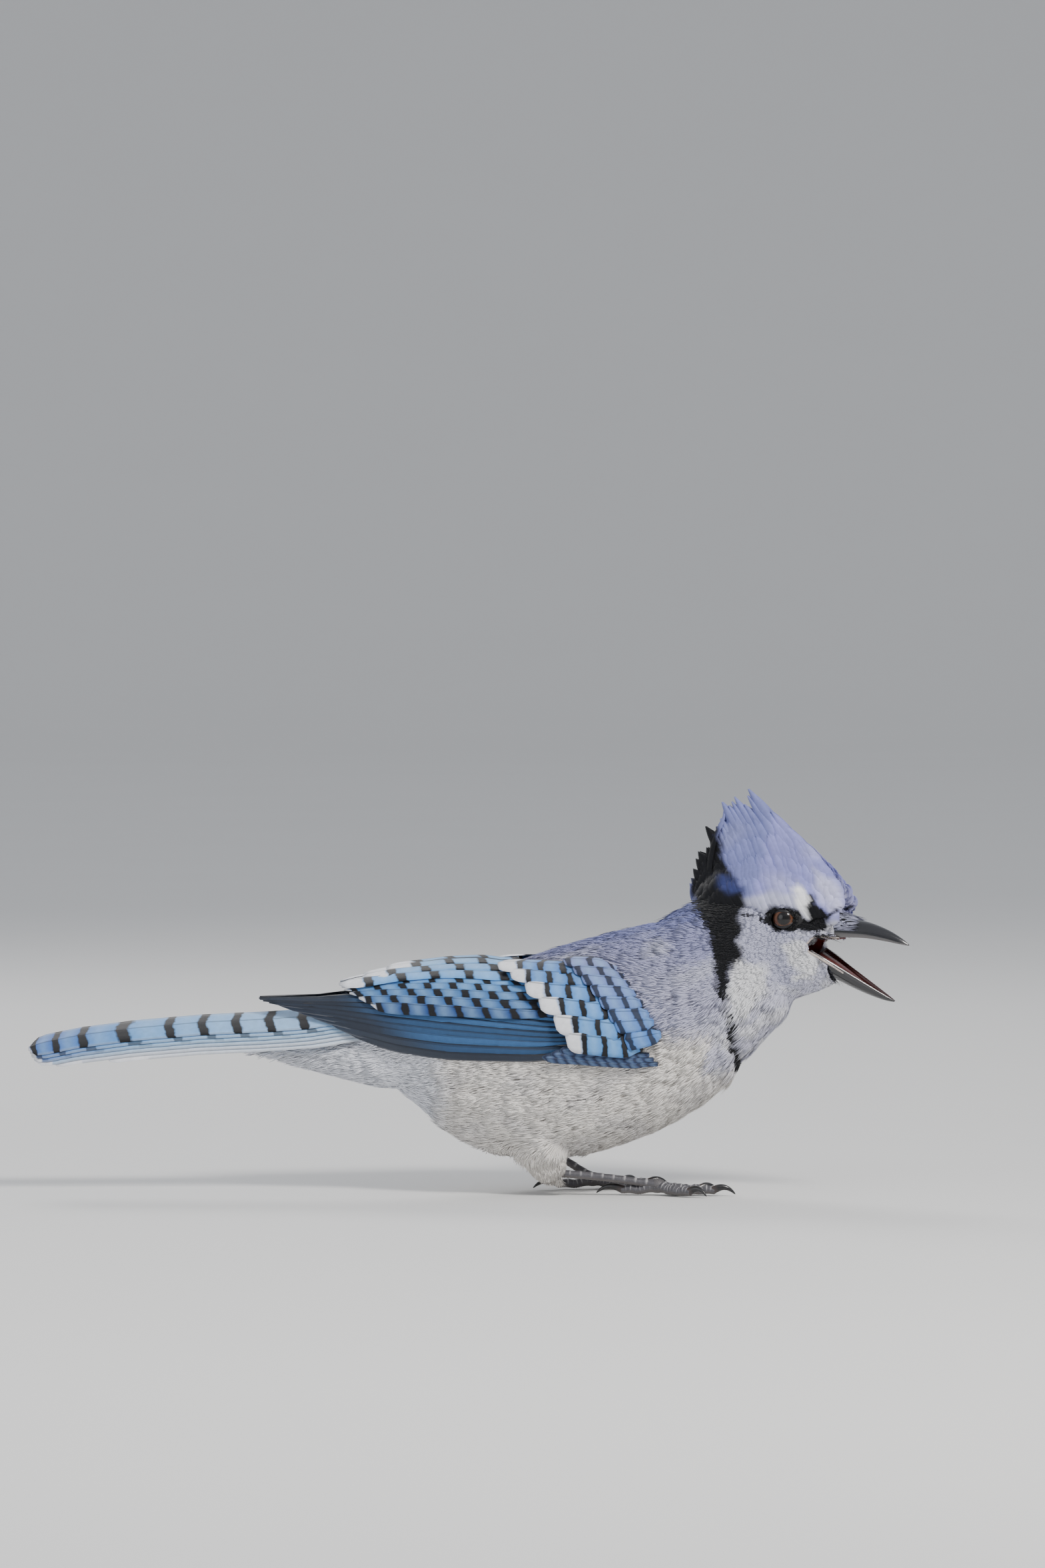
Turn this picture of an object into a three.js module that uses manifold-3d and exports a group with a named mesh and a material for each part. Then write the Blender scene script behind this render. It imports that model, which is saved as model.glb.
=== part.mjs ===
// A blue jay in life size, standing in a low crouch and calling with its crest raised.
// Millimetres. +X is the way the bird faces, +Y its left, +Z up. The floor is z = 0.
import * as THREE from "three";
import { mergeVertices } from "three/addons/utils/BufferGeometryUtils.js";
import Module from "manifold-3d";

const wasm = await Module();
wasm.setup();

const V = (x, y, z) => new THREE.Vector3(x, y, z);
const rad = THREE.MathUtils.degToRad;
const lerp = THREE.MathUtils.lerp;

// Driving sizes
const gap = 0.3; // between touching nodes
const headAt = V(95, -3, 85.9); // centre of the head
const headTurn = rad(-24); // the head looks a little to the bird's right
const eyeAt = { u: 9.0, v: 8.9, w: 1.3, radius: 4.2 };
const gape = { u: 15.0, v: 7.6, w: -7.4 }; // corner of the mouth, in the head's own frame
const billUpperTip = { u: 47.0, w: -6.6 };
const billLowerTip = { u: 42.6, w: -24.3 };
const toeRadius = 1.55;
const tarsusRadius = 1.45;
const vaneThickness = 0.55;
const pointMerge = 0.01; // points nearer than this become one

// The trunk: distance forward, top, bottom, half width
const trunkRows = [
  [-44, 57.5, 44, 5],
  [-36, 61.5, 38, 9.5],
  [-26, 65, 33.5, 13],
  [-18, 67.2, 30, 16],
  [-13, 68.3, 24.5, 18.5],
  [-7, 69.4, 19.2, 21],
  [2, 71, 14.6, 24],
  [12, 72.8, 11.8, 26.4],
  [22, 75.6, 10.6, 27.8],
  [32, 78.8, 11.2, 28.2],
  [42, 81.6, 13.2, 27.6],
  [52, 84, 16.2, 26.4],
  [62, 86.6, 20.4, 24.4],
  [71, 90, 25.6, 21.8],
  [79, 90, 31.4, 18.6],
  [86, 84, 38.6, 14.4],
  [91, 74, 48, 8],
];

// The head along its own axis: forward, top, bottom, half width
const headRows = [
  [-24.5, 6, -10, 4.5],
  [-21, 12.5, -17, 9.5],
  [-15, 16.5, -22.5, 12.6],
  [-8, 18, -26, 13.8],
  [0, 18.2, -26.6, 13.9],
  [7, 17, -25, 12.9],
  [13, 14.6, -23.4, 11.2],
  [18.5, 11, -21.6, 9.1],
  [23, 6.6, -19.4, 7],
  [26, 2.6, -15, 5],
];

// The neck, square to its own slanting axis: centre forward, centre up, half height, half width,
// tilt, sideways
const neckRows = [
  [62, 57, 27.5, 24, 8, 0],
  [72, 62.5, 27.2, 21.2, 14, 0],
  [81, 68.6, 25.6, 18, 22, -1],
  [89, 75.5, 22.4, 15.6, 33, -2],
  [95, 83, 18.6, 13.6, 45, -3],
];

// The white coverts under the tail: forward, top, bottom, half width
const undertailRows = [
  [-6, 52, 34, 13],
  [-16, 52, 31, 13.6],
  [-28, 50.5, 33, 12.4],
  [-40, 49.5, 36, 10.6],
  [-52, 48.5, 39, 8.2],
  [-63, 47.6, 42.6, 5.6],
  [-74, 46.6, 45.2, 2.2],
];

// Where a folded wing lies: forward, half width, height of its widest line, height of its top
const wingRows = [
  [64, 24.2, 49, 84],
  [52, 27.6, 49.5, 84],
  [38, 29.6, 50, 81],
  [24, 29.8, 50.5, 77],
  [10, 28.2, 52, 74],
  [-6, 24.6, 53.6, 72.6],
  [-22, 19.2, 55.4, 70],
  [-36, 14, 57.2, 66.6],
  [-48, 9.6, 58.6, 63.6],
  [-60, 6.6, 59.6, 62.6],
  [-70, 5, 59.8, 62.2],
];

// Values between rows, on a smooth curve through them
function rowsAt(rows, x) {
  const up = rows[rows.length - 1][0] > rows[0][0] ? 1 : -1;
  let i = 0;
  while (i < rows.length - 2 && (rows[i + 1][0] - x) * up < 0) i++;
  const a = rows[Math.max(i - 1, 0)];
  const b = rows[i];
  const c = rows[i + 1];
  const d = rows[Math.min(i + 2, rows.length - 1)];
  const h = c[0] - b[0];
  const t = THREE.MathUtils.clamp((x - b[0]) / h, 0, 1);
  return b.map((_, k) => {
    const m0 = (c[k] - a[k]) / (c[0] - a[0] || 1);
    const m1 = (d[k] - b[k]) / (d[0] - b[0] || 1);
    const t2 = t * t;
    const t3 = t2 * t;
    return (
      (2 * t3 - 3 * t2 + 1) * b[k] +
      (t3 - 2 * t2 + t) * h * m0 +
      (-2 * t3 + 3 * t2) * c[k] +
      (t3 - t2) * h * m1
    );
  });
}

// A closed skin over rings that hold the same number of points
function loft(rings) {
  const n = rings[0].length;
  const points = rings.flat();
  const faces = [];
  for (let j = 0; j + 1 < rings.length; j++)
    for (let i = 0; i < n; i++) {
      const a = j * n + i;
      const b = j * n + ((i + 1) % n);
      faces.push(a, b, b + n, a, b + n, a + n);
    }
  for (const [ring, turned] of [
    [0, true],
    [rings.length - 1, false],
  ]) {
    const middle = points.length;
    const centre = V(0, 0, 0);
    rings[ring].forEach((p) => centre.addScaledVector(p, 1 / n));
    points.push(centre);
    for (let i = 0; i < n; i++) {
      const a = ring * n + i;
      const b = ring * n + ((i + 1) % n);
      if (turned) faces.push(middle, b, a);
      else faces.push(middle, a, b);
    }
  }
  return geometryOf(points, faces);
}

function geometryOf(points, faces) {
  const g = new THREE.BufferGeometry().setFromPoints(points);
  g.setIndex(faces);
  return g;
}

// A three.js geometry as a solid, turned right side out
function solidOf(geometry, reach = 1e-4) {
  const bare = geometry.clone();
  bare.deleteAttribute("normal");
  bare.deleteAttribute("uv");
  const merged = mergeVertices(bare, reach);
  const p = merged.attributes.position;
  const triVerts = new Uint32Array(merged.index.array);
  const a = V(0, 0, 0);
  const b = V(0, 0, 0);
  const c = V(0, 0, 0);
  let volume = 0;
  for (let i = 0; i < triVerts.length; i += 3) {
    a.fromBufferAttribute(p, triVerts[i]);
    b.fromBufferAttribute(p, triVerts[i + 1]);
    c.fromBufferAttribute(p, triVerts[i + 2]);
    volume += a.dot(b.cross(c));
  }
  if (volume < 0)
    for (let i = 0; i < triVerts.length; i += 3)
      [triVerts[i + 1], triVerts[i + 2]] = [triVerts[i + 2], triVerts[i + 1]];
  const vertProperties = new Float32Array(p.array);
  return new wasm.Manifold(new wasm.Mesh({ numProp: 3, vertProperties, triVerts }));
}

function geometryFrom(solid) {
  const m = solid.getMesh();
  const g = new THREE.BufferGeometry();
  g.setAttribute("position", new THREE.BufferAttribute(new Float32Array(m.vertProperties), 3));
  g.setIndex(new THREE.BufferAttribute(new Uint32Array(m.triVerts), 1));
  return g;
}

// The largest closed surface of a solid, with points that nearly meet made one,
// so that a pocket sealed between two vanes is filled
function largest(solid) {
  const settled = solidOf(geometryFrom(solid), pointMerge);
  return settled.decompose().reduce((a, b) => (b.volume() > a.volume() ? b : a));
}

const joined = (solids) => solids.reduce((a, b) => a.add(b));

// A ring in an upright plane across the body
function ring(at, right, up, halfWidth, above, below, sides, roundness = 2.15) {
  const points = [];
  for (let i = 0; i < sides; i++) {
    const t = ((i + 0.5) / sides) * 2 * Math.PI;
    const c = Math.cos(t);
    const s = Math.sin(t);
    const across = halfWidth * Math.sign(c) * Math.abs(c) ** (2 / roundness);
    const along = (s > 0 ? above : below) * Math.sign(s) * Math.abs(s) ** (2 / roundness);
    points.push(at.clone().addScaledVector(right, across).addScaledVector(up, along));
  }
  return points;
}

// A body from rows of forward, top, bottom, half width. extra swells it all round.
function rowsBody(rows, { steps, sides, extra = 0, place = (p) => p, belly = 0.5 }) {
  const first = rows[0][0] - Math.sign(rows[1][0] - rows[0][0]) * extra;
  const last = rows[rows.length - 1][0] + Math.sign(rows[1][0] - rows[0][0]) * extra;
  const rings = [];
  for (let j = 0; j <= steps; j++) {
    const x = lerp(first, last, j / steps);
    const [, top, bottom, halfWidth] = rowsAt(rows, x);
    const mid = lerp(bottom, top, belly);
    const at = V(x, 0, mid);
    const r = ring(at, V(0, 1, 0), V(0, 0, 1), halfWidth + extra,
      top - mid + extra, mid - bottom + extra, sides);
    rings.push(r.map(place));
  }
  return solidOf(loft(rings));
}

// From the head's own frame (forward, left, up) to the bird's
const headForward = V(Math.cos(headTurn), Math.sin(headTurn), 0);
const headLeft = V(-Math.sin(headTurn), Math.cos(headTurn), 0);
const inHead = (u, v, w) =>
  headAt.clone().addScaledVector(headForward, u).addScaledVector(headLeft, v).add(V(0, 0, w));
const headPlace = (p) => inHead(p.x, p.y, p.z);

const trunk = (extra = 0) => rowsBody(trunkRows, { steps: 18, sides: 20, extra });
const skull = (extra = 0) =>
  rowsBody(headRows, { steps: 12, sides: 18, extra, belly: 0.48, place: headPlace });
const undertailBody = (extra = 0) => rowsBody(undertailRows, { steps: 9, sides: 12, extra });

function neckBody(extra = 0) {
  const rings = neckRows.map(([x, z, half, wide, tilt, y]) => {
    const up = V(-Math.sin(rad(tilt)), 0, Math.cos(rad(tilt)));
    return ring(V(x, y, z), V(0, 1, 0), up, wide + extra, half + extra, half + extra, 20);
  });
  return solidOf(loft(rings));
}

// A point on the folded wing's surface: forward, angle up from its widest line, lift off the surface
function wingPoint(side, x, angle, lift) {
  const [, half, mid, top] = rowsAt(wingRows, x);
  const c = Math.cos(angle);
  const s = Math.sin(angle);
  const across = half * c + lift * c;
  const rise = (top - mid) * s + lift * s;
  return V(x, side * across, mid + rise);
}

// A feather vane: a thin closed blade through stations of {at, normal, left, half}
function vane(stations, thickness = vaneThickness) {
  const points = [];
  const faces = [];
  for (const { at, normal, left, half } of stations)
    for (const [k, face] of [[-1, 0.5], [1, 0.5], [1, -0.5], [-1, -0.5]])
      points.push(
        at.clone().addScaledVector(left, k * half).addScaledVector(normal, face * thickness),
      );
  const n = stations.length;
  for (let j = 0; j + 1 < n; j++) {
    const [a, b, c, d] = [0, 1, 2, 3].map((k) => j * 4 + k);
    // the lower face has the same diagonal as the upper one
    faces.push(a, b, a + 4, b, b + 4, a + 4, c, d, c + 4, d, d + 4, c + 4);
    faces.push(b, c, c + 4, b, c + 4, b + 4, d, a, a + 4, d, a + 4, d + 4);
  }
  const o = (n - 1) * 4;
  faces.push(0, 2, 1, 0, 3, 2, o, o + 1, o + 2, o, o + 2, o + 3);
  return solidOf(geometryOf(points, faces));
}

// Steps along a feather, root to tip
const vaneSteps = [0, 0.5, 0.86, 1];

// A closed sheet between an upper and a lower grid of points, rows of equal length
function sheetOf(upper, lower) {
  const rows = upper.length;
  const n = upper[0].length;
  const faces = [];
  const at = (layer, j, i) => layer * rows * n + j * n + i;
  const quad = (a, b, c, d) => faces.push(a, b, c, a, c, d);
  for (let j = 0; j + 1 < rows; j++)
    for (let i = 0; i + 1 < n; i++) {
      quad(at(0, j, i), at(0, j, i + 1), at(0, j + 1, i + 1), at(0, j + 1, i));
      // the same diagonal below as above
      faces.push(at(1, j, i), at(1, j + 1, i + 1), at(1, j, i + 1));
      faces.push(at(1, j, i), at(1, j + 1, i), at(1, j + 1, i + 1));
    }
  for (let j = 0; j + 1 < rows; j++) {
    quad(at(0, j, 0), at(0, j + 1, 0), at(1, j + 1, 0), at(1, j, 0));
    quad(at(0, j, n - 1), at(1, j, n - 1), at(1, j + 1, n - 1), at(0, j + 1, n - 1));
  }
  for (let i = 0; i + 1 < n; i++) {
    quad(at(0, 0, i), at(1, 0, i), at(1, 0, i + 1), at(0, 0, i + 1));
    quad(at(0, rows - 1, i), at(0, rows - 1, i + 1), at(1, rows - 1, i + 1), at(1, rows - 1, i));
  }
  return solidOf(geometryOf([...upper.flat(), ...lower.flat()], faces));
}

// One feather of a wing tier, from share q0 to q1 of the tier. Its lower edge lies outside and its
// upper edge is tucked under the next feather, clear of it. It leaves its root at t = 0.
const lapStep = 1.1; // how far a feather's lower edge stands off its upper one
const lapOver = 1.34; // how wide a feather is, as a share of the distance to the next
const acrossSteps = [0, 0.45, 1];
const alongSteps = [0, 0.3, 0.86, 1];
const alongWidth = [0.8, 1, 0.9, 0.35];
function wingFeather(side, { count, roots, tips, arch, lift }, i) {
  const end = (ends, q) => ends[0].map((v, k) => lerp(v, ends[1][k], q));
  const middle = (i + lapOver / 2) / count;
  const tipAt = (q) => {
    const [x, angle] = end(tips, q);
    return [x - arch * Math.sin(Math.PI * Math.min(q, 1)), angle];
  };
  const grid = (below) =>
    alongSteps.map((t, j) =>
      acrossSteps.map((share) => {
        const q = middle + ((share - 0.5) * lapOver * alongWidth[j]) / count;
        const [rootX, rootAngle] = end(roots, q);
        const x = lerp(rootX, tipAt(middle)[0], t);
        const angle = lerp(rootAngle, tipAt(q)[1], t);
        const rise = THREE.MathUtils.smoothstep(t, 0, alongSteps[1]);
        const height = lerp(lift[0], lerp(lift[1], lift[2], t), rise) + lapStep * (1 - share) * rise;
        return wingPoint(side, x, rad(angle), height - (below ? vaneThickness : 0));
      }),
    );
  return sheetOf(grid(false), grid(true));
}

// A shell along the folded wing between two lifts. lower and upper give its edges' angles at x.
function wingShell(side, from, to, lower, upper, under, over, steps, around) {
  const rings = [];
  for (let j = 0; j <= steps; j++) {
    const x = lerp(from, to, j / steps);
    const points = [];
    for (let i = 0; i <= around; i++)
      points.push(wingPoint(side, x, rad(lerp(lower(x), upper(x), i / around)), over(x)));
    for (let i = around; i >= 0; i--)
      points.push(wingPoint(side, x, rad(lerp(lower(x), upper(x), i / around)), under(x)));
    rings.push(points);
  }
  return solidOf(loft(rings));
}

// The wing's lower edge and its upper one, beside the mantle, as angles
const edgeRows = [
  [63, -4, 4],
  [58, -10, 12],
  [48, -13, 24],
  [38, -9, 40],
  [28, -5, 62],
  [18, -6, 89],
  [5, -10, 90],
  [-10, -14, 90],
  [-25, -20, 90],
  [-40, -26, 90],
  [-55, -30, 90],
  [-67, -20, 60],
];
const wingLow = (x) => rowsAt(edgeRows, x)[1];
const wingHigh = (x) => Math.min(rowsAt(edgeRows, x)[2], 90);

// A tube through points with a radius at each, its rings square to the path
function tube(path, radii, sides, flatten = 1) {
  const rings = path.map((p, i) => {
    const before = path[Math.max(i - 1, 0)];
    const after = path[Math.min(i + 1, path.length - 1)];
    const along = after.clone().sub(before).normalize();
    const across = V(0, 0, 1).cross(along).normalize();
    const up = along.clone().cross(across).normalize();
    return ring(p, across, up, radii[i] * flatten, radii[i], radii[i], sides, 2);
  });
  return solidOf(loft(rings));
}

const ball = (at, radius, across, around) =>
  solidOf(new THREE.SphereGeometry(radius, across, around).translate(at.x, at.y, at.z));

// Bill, upper half: forward, top, cutting edge, half width
const billUpperRows = [
  [17, 4.4, -4.4, 6.2],
  [22, 3.4, -4.6, 5.6],
  [28, 1.4, -4.4, 4.4],
  [34, 0.2, -4.6, 3.3],
  [40, -2.0, -5.5, 2.1],
  [44.5, -4.5, -6.4, 1.1],
  [billUpperTip.u, billUpperTip.w + 0.2, billUpperTip.w - 0.2, 0.25],
];
// Bill, lower half, along its own slope from the corner of the mouth: distance, depth, half width
const billLowerRows = [
  [2, 5.4, 6.9],
  [7, 5.3, 6.1],
  [12, 4.9, 4.9],
  [18, 4.2, 3.7],
  [24, 3.1, 2.5],
  [29, 1.8, 1.4],
  [32, 0.5, 0.4],
];
const jawDrop = Math.atan2(gape.w - billLowerTip.w, billLowerTip.u - gape.u);
const inJaw = (s, v, n) =>
  inHead(
    gape.u + s * Math.cos(jawDrop) + n * Math.sin(jawDrop),
    v,
    gape.w - s * Math.sin(jawDrop) + n * Math.cos(jawDrop),
  );

// Half a bill: arched on one side and nearly flat on the other
function archRing(place, at, halfWidth, base, crown, sides, keel = 0.85) {
  const points = [];
  for (let i = 0; i <= sides; i++) {
    const t = (i / sides) * Math.PI;
    points.push(place(at, halfWidth * Math.cos(t), base + (crown - base) * Math.sin(t) ** keel));
  }
  points.push(place(at, -halfWidth * 0.45, base + (crown - base) * 0.08));
  points.push(place(at, halfWidth * 0.45, base + (crown - base) * 0.08));
  return points;
}

function billUpper(extra = 0) {
  const rings = billUpperRows.map(([u, top, edge, half]) =>
    archRing(inHead, u, half + extra, edge - extra, top + extra, 10),
  );
  return solidOf(loft(rings));
}

function billLower(extra = 0) {
  const rings = billLowerRows.map(([s, depth, half]) =>
    archRing(inJaw, s, half + extra, extra, -depth - extra, 10),
  );
  return solidOf(loft(rings));
}

// The hollow of the lower bill, in which the tongue lies
function billTrough() {
  const rings = [
    [1.6, 2.6, 5.6],
    [8, 2.5, 4.7],
    [15, 2.1, 3.3],
    [22, 1.5, 2],
    [28, 0.7, 0.9],
  ].map(([s, depth, half]) => archRing(inJaw, s, half, 1, -depth, 8));
  return solidOf(loft(rings));
}

// The opening between the two halves of the bill, right across the head
function mouthWedge() {
  const outline = [
    [gape.u, gape.w],
    [gape.u + 3.2, gape.w + 2.9],
    [gape.u + 8, gape.w + 2.7],
    [gape.u + 30, gape.w + 2],
    [gape.u + 30, gape.w - 30 * Math.tan(jawDrop)],
  ];
  const rings = [-16, 16].map((v) => outline.map(([u, w]) => inHead(u, v, w)));
  return solidOf(loft(rings));
}

// The throat behind it, seen through the open bill
const throatPocket = () => {
  const g = new THREE.SphereGeometry(1, 10, 7).scale(8.4, 6.2, 4.6).rotateY(rad(18));
  g.translate(gape.u + 0.4, 0, gape.w - 0.6);
  const p = g.attributes.position;
  for (let i = 0; i < p.count; i++) {
    const q = inHead(p.getX(i), p.getY(i), p.getZ(i));
    p.setXYZ(i, q.x, q.y, q.z);
  }
  return solidOf(g);
};

// The pale rim of the mouth, from the upper bill round the corner to the lower
function gapeRim(side) {
  const path = [
    [gape.u + 8.5, 5.8, gape.w + 2.9],
    [gape.u + 3.4, 7.2, gape.w + 3.2],
    [gape.u + 1.0, 7.9, gape.w + 1.4],
    [gape.u - 0.2, 8.1, gape.w - 0.1],
    [gape.u + 1.4, 7.9, gape.w - 1.7],
    [gape.u + 4.6, 7.2, gape.w - 3.4],
    [gape.u + 8, 6.2, gape.w - 5.6],
  ].map(([u, v, w]) => inHead(u, side * v, w));
  return tube(path, path.map(() => 0.55), 6);
}

// The tongue: low and narrow, lying in the lower bill
function tongueBody() {
  const rows = [
    [3.4, 1.5, 2.4],
    [9, 1.6, 2.3],
    [14, 1.3, 1.7],
    [18.5, 0.8, 1],
    [20.5, 0.3, 0.3],
  ];
  const rings = rows.map(([s, thick, half]) => {
    const floorOfTrough = -lerp(2.5, 1.3, s / 24);
    return archRing(inJaw, s, half, floorOfTrough + gap, floorOfTrough + gap + thick, 8);
  });
  return solidOf(loft(rings));
}

const eyeCentre = (side) => inHead(eyeAt.u, side * eyeAt.v, eyeAt.w);

const eyeBall = (side, extra = 0) => ball(eyeCentre(side), eyeAt.radius + extra, 14, 9);

// Upper and lower lid together: a soft oval ring round the eye
function lids(side) {
  const ringRadius = 3.75;
  const g = new THREE.TorusGeometry(ringRadius, 0.75, 5, 14).scale(1, 0.82, 1);
  g.rotateX(Math.PI / 2).rotateZ(side * -rad(10)).translate(eyeAt.u, side * 12.2, eyeAt.w);
  const p = g.attributes.position;
  for (let i = 0; i < p.count; i++) {
    const q = inHead(p.getX(i), p.getY(i), p.getZ(i));
    p.setXYZ(i, q.x, q.y, q.z);
  }
  return solidOf(g);
}

// The body's flesh, whole, before it is parted
const flesh = joined([trunk(), neckBody(), skull()]);

const nodes = {};

// Parting lines in the side view
const collarLine = [V(70, 0, 96), V(86, 0, 36)];
const throatLine = [V(66, 0, 112), V(106, 0, 56)];
const onSide = (line, sign) => {
  const along = line[1].clone().sub(line[0]).normalize();
  const normal = V(-along.z, 0, along.x).multiplyScalar(sign);
  const middle = line[0].clone().add(line[1]).multiplyScalar(0.5);
  return (solid) =>
    solid.trimByPlane([normal.x, normal.y, normal.z], normal.dot(middle) + gap / 2);
};
const behindCollar = onSide(collarLine, -1);
const aheadOfCollar = onSide(collarLine, 1);
const behindThroat = onSide(throatLine, -1);
const aheadOfThroat = onSide(throatLine, 1);

// The hollow in the trunk that each wing lies in. spare keeps the wing off its walls.
const bedDepth = 1.6;
const wingBed = (side, spare = 0) => {
  const lower = (x) => wingLow(x) - 1 + spare * 2;
  const upper = (x) => Math.min(wingHigh(x) + 1.5 - spare * 2, 91);
  const floor = () => spare - bedDepth;
  return wingShell(side, 62.3 - spare, -70, lower, upper, floor, () => 14, 20, 6);
};

// Legs: heel and foot joint of each side
const legs = {
  right: { side: -1, heel: V(25.5, -12, 7.1), foot: V(59.5, -12.5, 3.4), turn: -8 },
  left: { side: 1, heel: V(11, 13, 20.5), foot: V(39.5, 12.5, 3.4), turn: 10 },
};

// Feathered shanks, each a soft bulge out of the belly round the heel: path and radii
const shanks = {
  right: {
    path: [
      V(20, -11.5, 27),
      V(22, -11.8, 19),
      V(24, -12, 12.5),
      V(25.2, -12, 8),
      V(25.4, -12, 4.8),
      V(25.3, -12, 3.4),
    ],
    radii: [11, 9.4, 8, 6.4, 3.8, 1.2],
  },
  left: {
    path: [
      V(9, 12, 28),
      V(14, 12.4, 22),
      V(18.5, 12.6, 17.5),
      V(21.5, 12.8, 14.8),
      V(24, 12.8, 13.2),
    ],
    radii: [9.5, 8.6, 6.8, 4.6, 1.8],
  },
};

const tarsusScutes = 6;
function tarsus({ heel, foot }, extra = 0) {
  const path = [];
  const radii = [];
  for (let i = 0; i < tarsusScutes; i++)
    for (const [t, swell] of [
      [0.05, -0.12],
      [0.2, 0.1],
      [0.9, 0.02],
    ]) {
      path.push(heel.clone().lerp(foot, (i + t) / tarsusScutes));
      radii.push(tarsusRadius + swell + extra);
    }
  return tube(path, radii, 7, 0.82);
}

// Toes: direction from straight ahead, length, and the claw's length
const toes = [
  { turn: 178, length: 11.5, claw: 8.2 },
  { turn: -27, length: 12.5, claw: 6.2 },
  { turn: 2, length: 18, claw: 6.8 },
  { turn: 26, length: 14.5, claw: 6 },
];
const toeWay = (leg, toe) => {
  const a = rad(leg.turn + toe.turn * (leg.side < 0 ? 1 : -1));
  return V(Math.cos(a), Math.sin(a), 0);
};
function toeBody(leg, toe) {
  const way = toeWay(leg, toe);
  const path = [];
  const radii = [];
  const bones = toe.turn === 178 ? 2 : 3;
  for (let i = 0; i <= bones * 2; i++) {
    const t = i / (bones * 2);
    const joint = 0.5 + 0.5 * Math.cos(t * bones * 2 * Math.PI);
    const p = leg.foot.clone().addScaledVector(way, t * toe.length);
    p.z = lerp(leg.foot.z - 0.6, toeRadius * 0.86, Math.min(1, t * 3.2));
    path.push(p);
    radii.push(lerp(1.75, 1.2, t) + 0.16 * joint);
  }
  return tube(path, radii, 6);
}
// The ball of the foot, where the toes meet
const sole = (leg, extra = 0) => ball(V(leg.foot.x, leg.foot.y, 2.45), 2.35 + extra, 10, 7);

function claw(leg, toe) {
  const way = toeWay(leg, toe);
  const path = [];
  const radii = [];
  const steps = 6;
  for (let i = 0; i <= steps; i++) {
    const t = i / steps;
    const reach = toe.length + gap + (toe.claw * Math.sin(t * 1.25)) / Math.sin(1.25);
    const p = leg.foot.clone().addScaledVector(way, reach);
    p.z = lerp(toeRadius * 0.9, 0.1, t * t) + 0.9 * Math.sin(t * Math.PI);
    path.push(p);
    radii.push(lerp(1.05, 0.3, t ** 0.85));
  }
  return tube(path, radii, 6, 0.7).trimByPlane([0, 0, 1], 0);
}

const trunkGrown = trunk(gap);

// Feather tiers of the folded wing, lowest tier first. Ends are [forward, angle] of the lowest and
// the highest feather, and lifts are in the root, just off it and at the tip.
const wingTiers = [
  // long outer flight feathers
  { count: 5, roots: [[38, -8], [30, 16]], tips: [[-36, -44], [-66, 52]], arch: 9, lift: [-0.6, 0, -0.6] },
  // inner flight feathers
  { count: 4, roots: [[30, 16], [24, 46]], tips: [[-30, 12], [-43, 66]], arch: 3, lift: [-0.6, 0.5, 0.9] },
  // innermost ones, over the back
  { count: 3, roots: [[26, 42], [14, 74]], tips: [[-40, 60], [-20, 78]], arch: 0, lift: [-0.6, 0.8, 1.6] },
  // great coverts
  { count: 6, roots: [[57, -7], [35, 48]], tips: [[34, -4], [8, 62]], arch: 0, lift: [-0.6, 0.6, 2.3] },
  // middle coverts
  { count: 4, roots: [[60, -6], [44, 38]], tips: [[53, -5], [30, 44]], arch: 0, lift: [-0.2, 1.6, 3.6] },
];

// The wing's arm: the low solid that holds the roots
const wingArm = (side) =>
  wingShell(side, 61, 14, (x) => wingLow(x) + 1, (x) => Math.min(wingHigh(x), 87), () => -1.3, () => 0.4, 6, 5);

function wing(side) {
  const feathers = wingTiers.flatMap((tier) =>
    Array.from({ length: tier.count }, (_, i) => wingFeather(side, tier, i)),
  );
  return joined([wingArm(side), ...feathers]).trimByPlane([0, side, 0], gap / 2);
}

// The tail: six pairs of feathers like a low roof, the middle pair on top
const tailRidge = [
  [-140, 48.2],
  [-134, 50],
  [-122, 52.4],
  [-105, 54.6],
  [-84, 56.4],
  [-63, 57.4],
  [-46, 58.6],
  [-30, 59.6],
];
const tailTips = [-138.5, -137.9, -137.4, -136.6, -131.6, -114.5];
const tailPairs = tailTips.length;
const tailSlope = rad(30);
const tailWidth = 11.5;
const tailStep = { across: 0.35, down: 1.2 };
const tailRoot = -32;
const tailSpread = 0.34; // each next pair's tip lies this much further out
const tailSteps = [0, 0.4, 0.85, 0.96, 1];
const tailShares = [0.6, 1, 1, 0.92, 0.35]; // half width at those steps
const tailCore = 16; // length of the solid root
const ridgeAt = (x) => rowsAt(tailRidge, x)[1];

function tailFeather(side, pair) {
  const tip = tailTips[pair];
  const spread = tailSpread * pair;
  const stations = tailSteps.map((t, j) => {
    const x = lerp(tailRoot, tip, t);
    const half = (tailWidth / 2) * tailShares[j];
    const across = 0.2 + tailStep.across * pair + (tailWidth / 2) * Math.cos(tailSlope) + spread * t;
    const drop = tailStep.down * pair + (tailWidth / 2) * Math.sin(tailSlope);
    const fall = (ridgeAt(x - 1) - ridgeAt(x + 1)) / 2;
    const along = V(-1, 0, fall).normalize();
    const left = V(0, side * Math.cos(tailSlope), -Math.sin(tailSlope));
    const normal = along.clone().cross(left).normalize();
    if (normal.z < 0) normal.negate();
    return { at: V(x, side * across, ridgeAt(x) - drop), normal, left, half };
  });
  return vane(stations);
}

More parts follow.
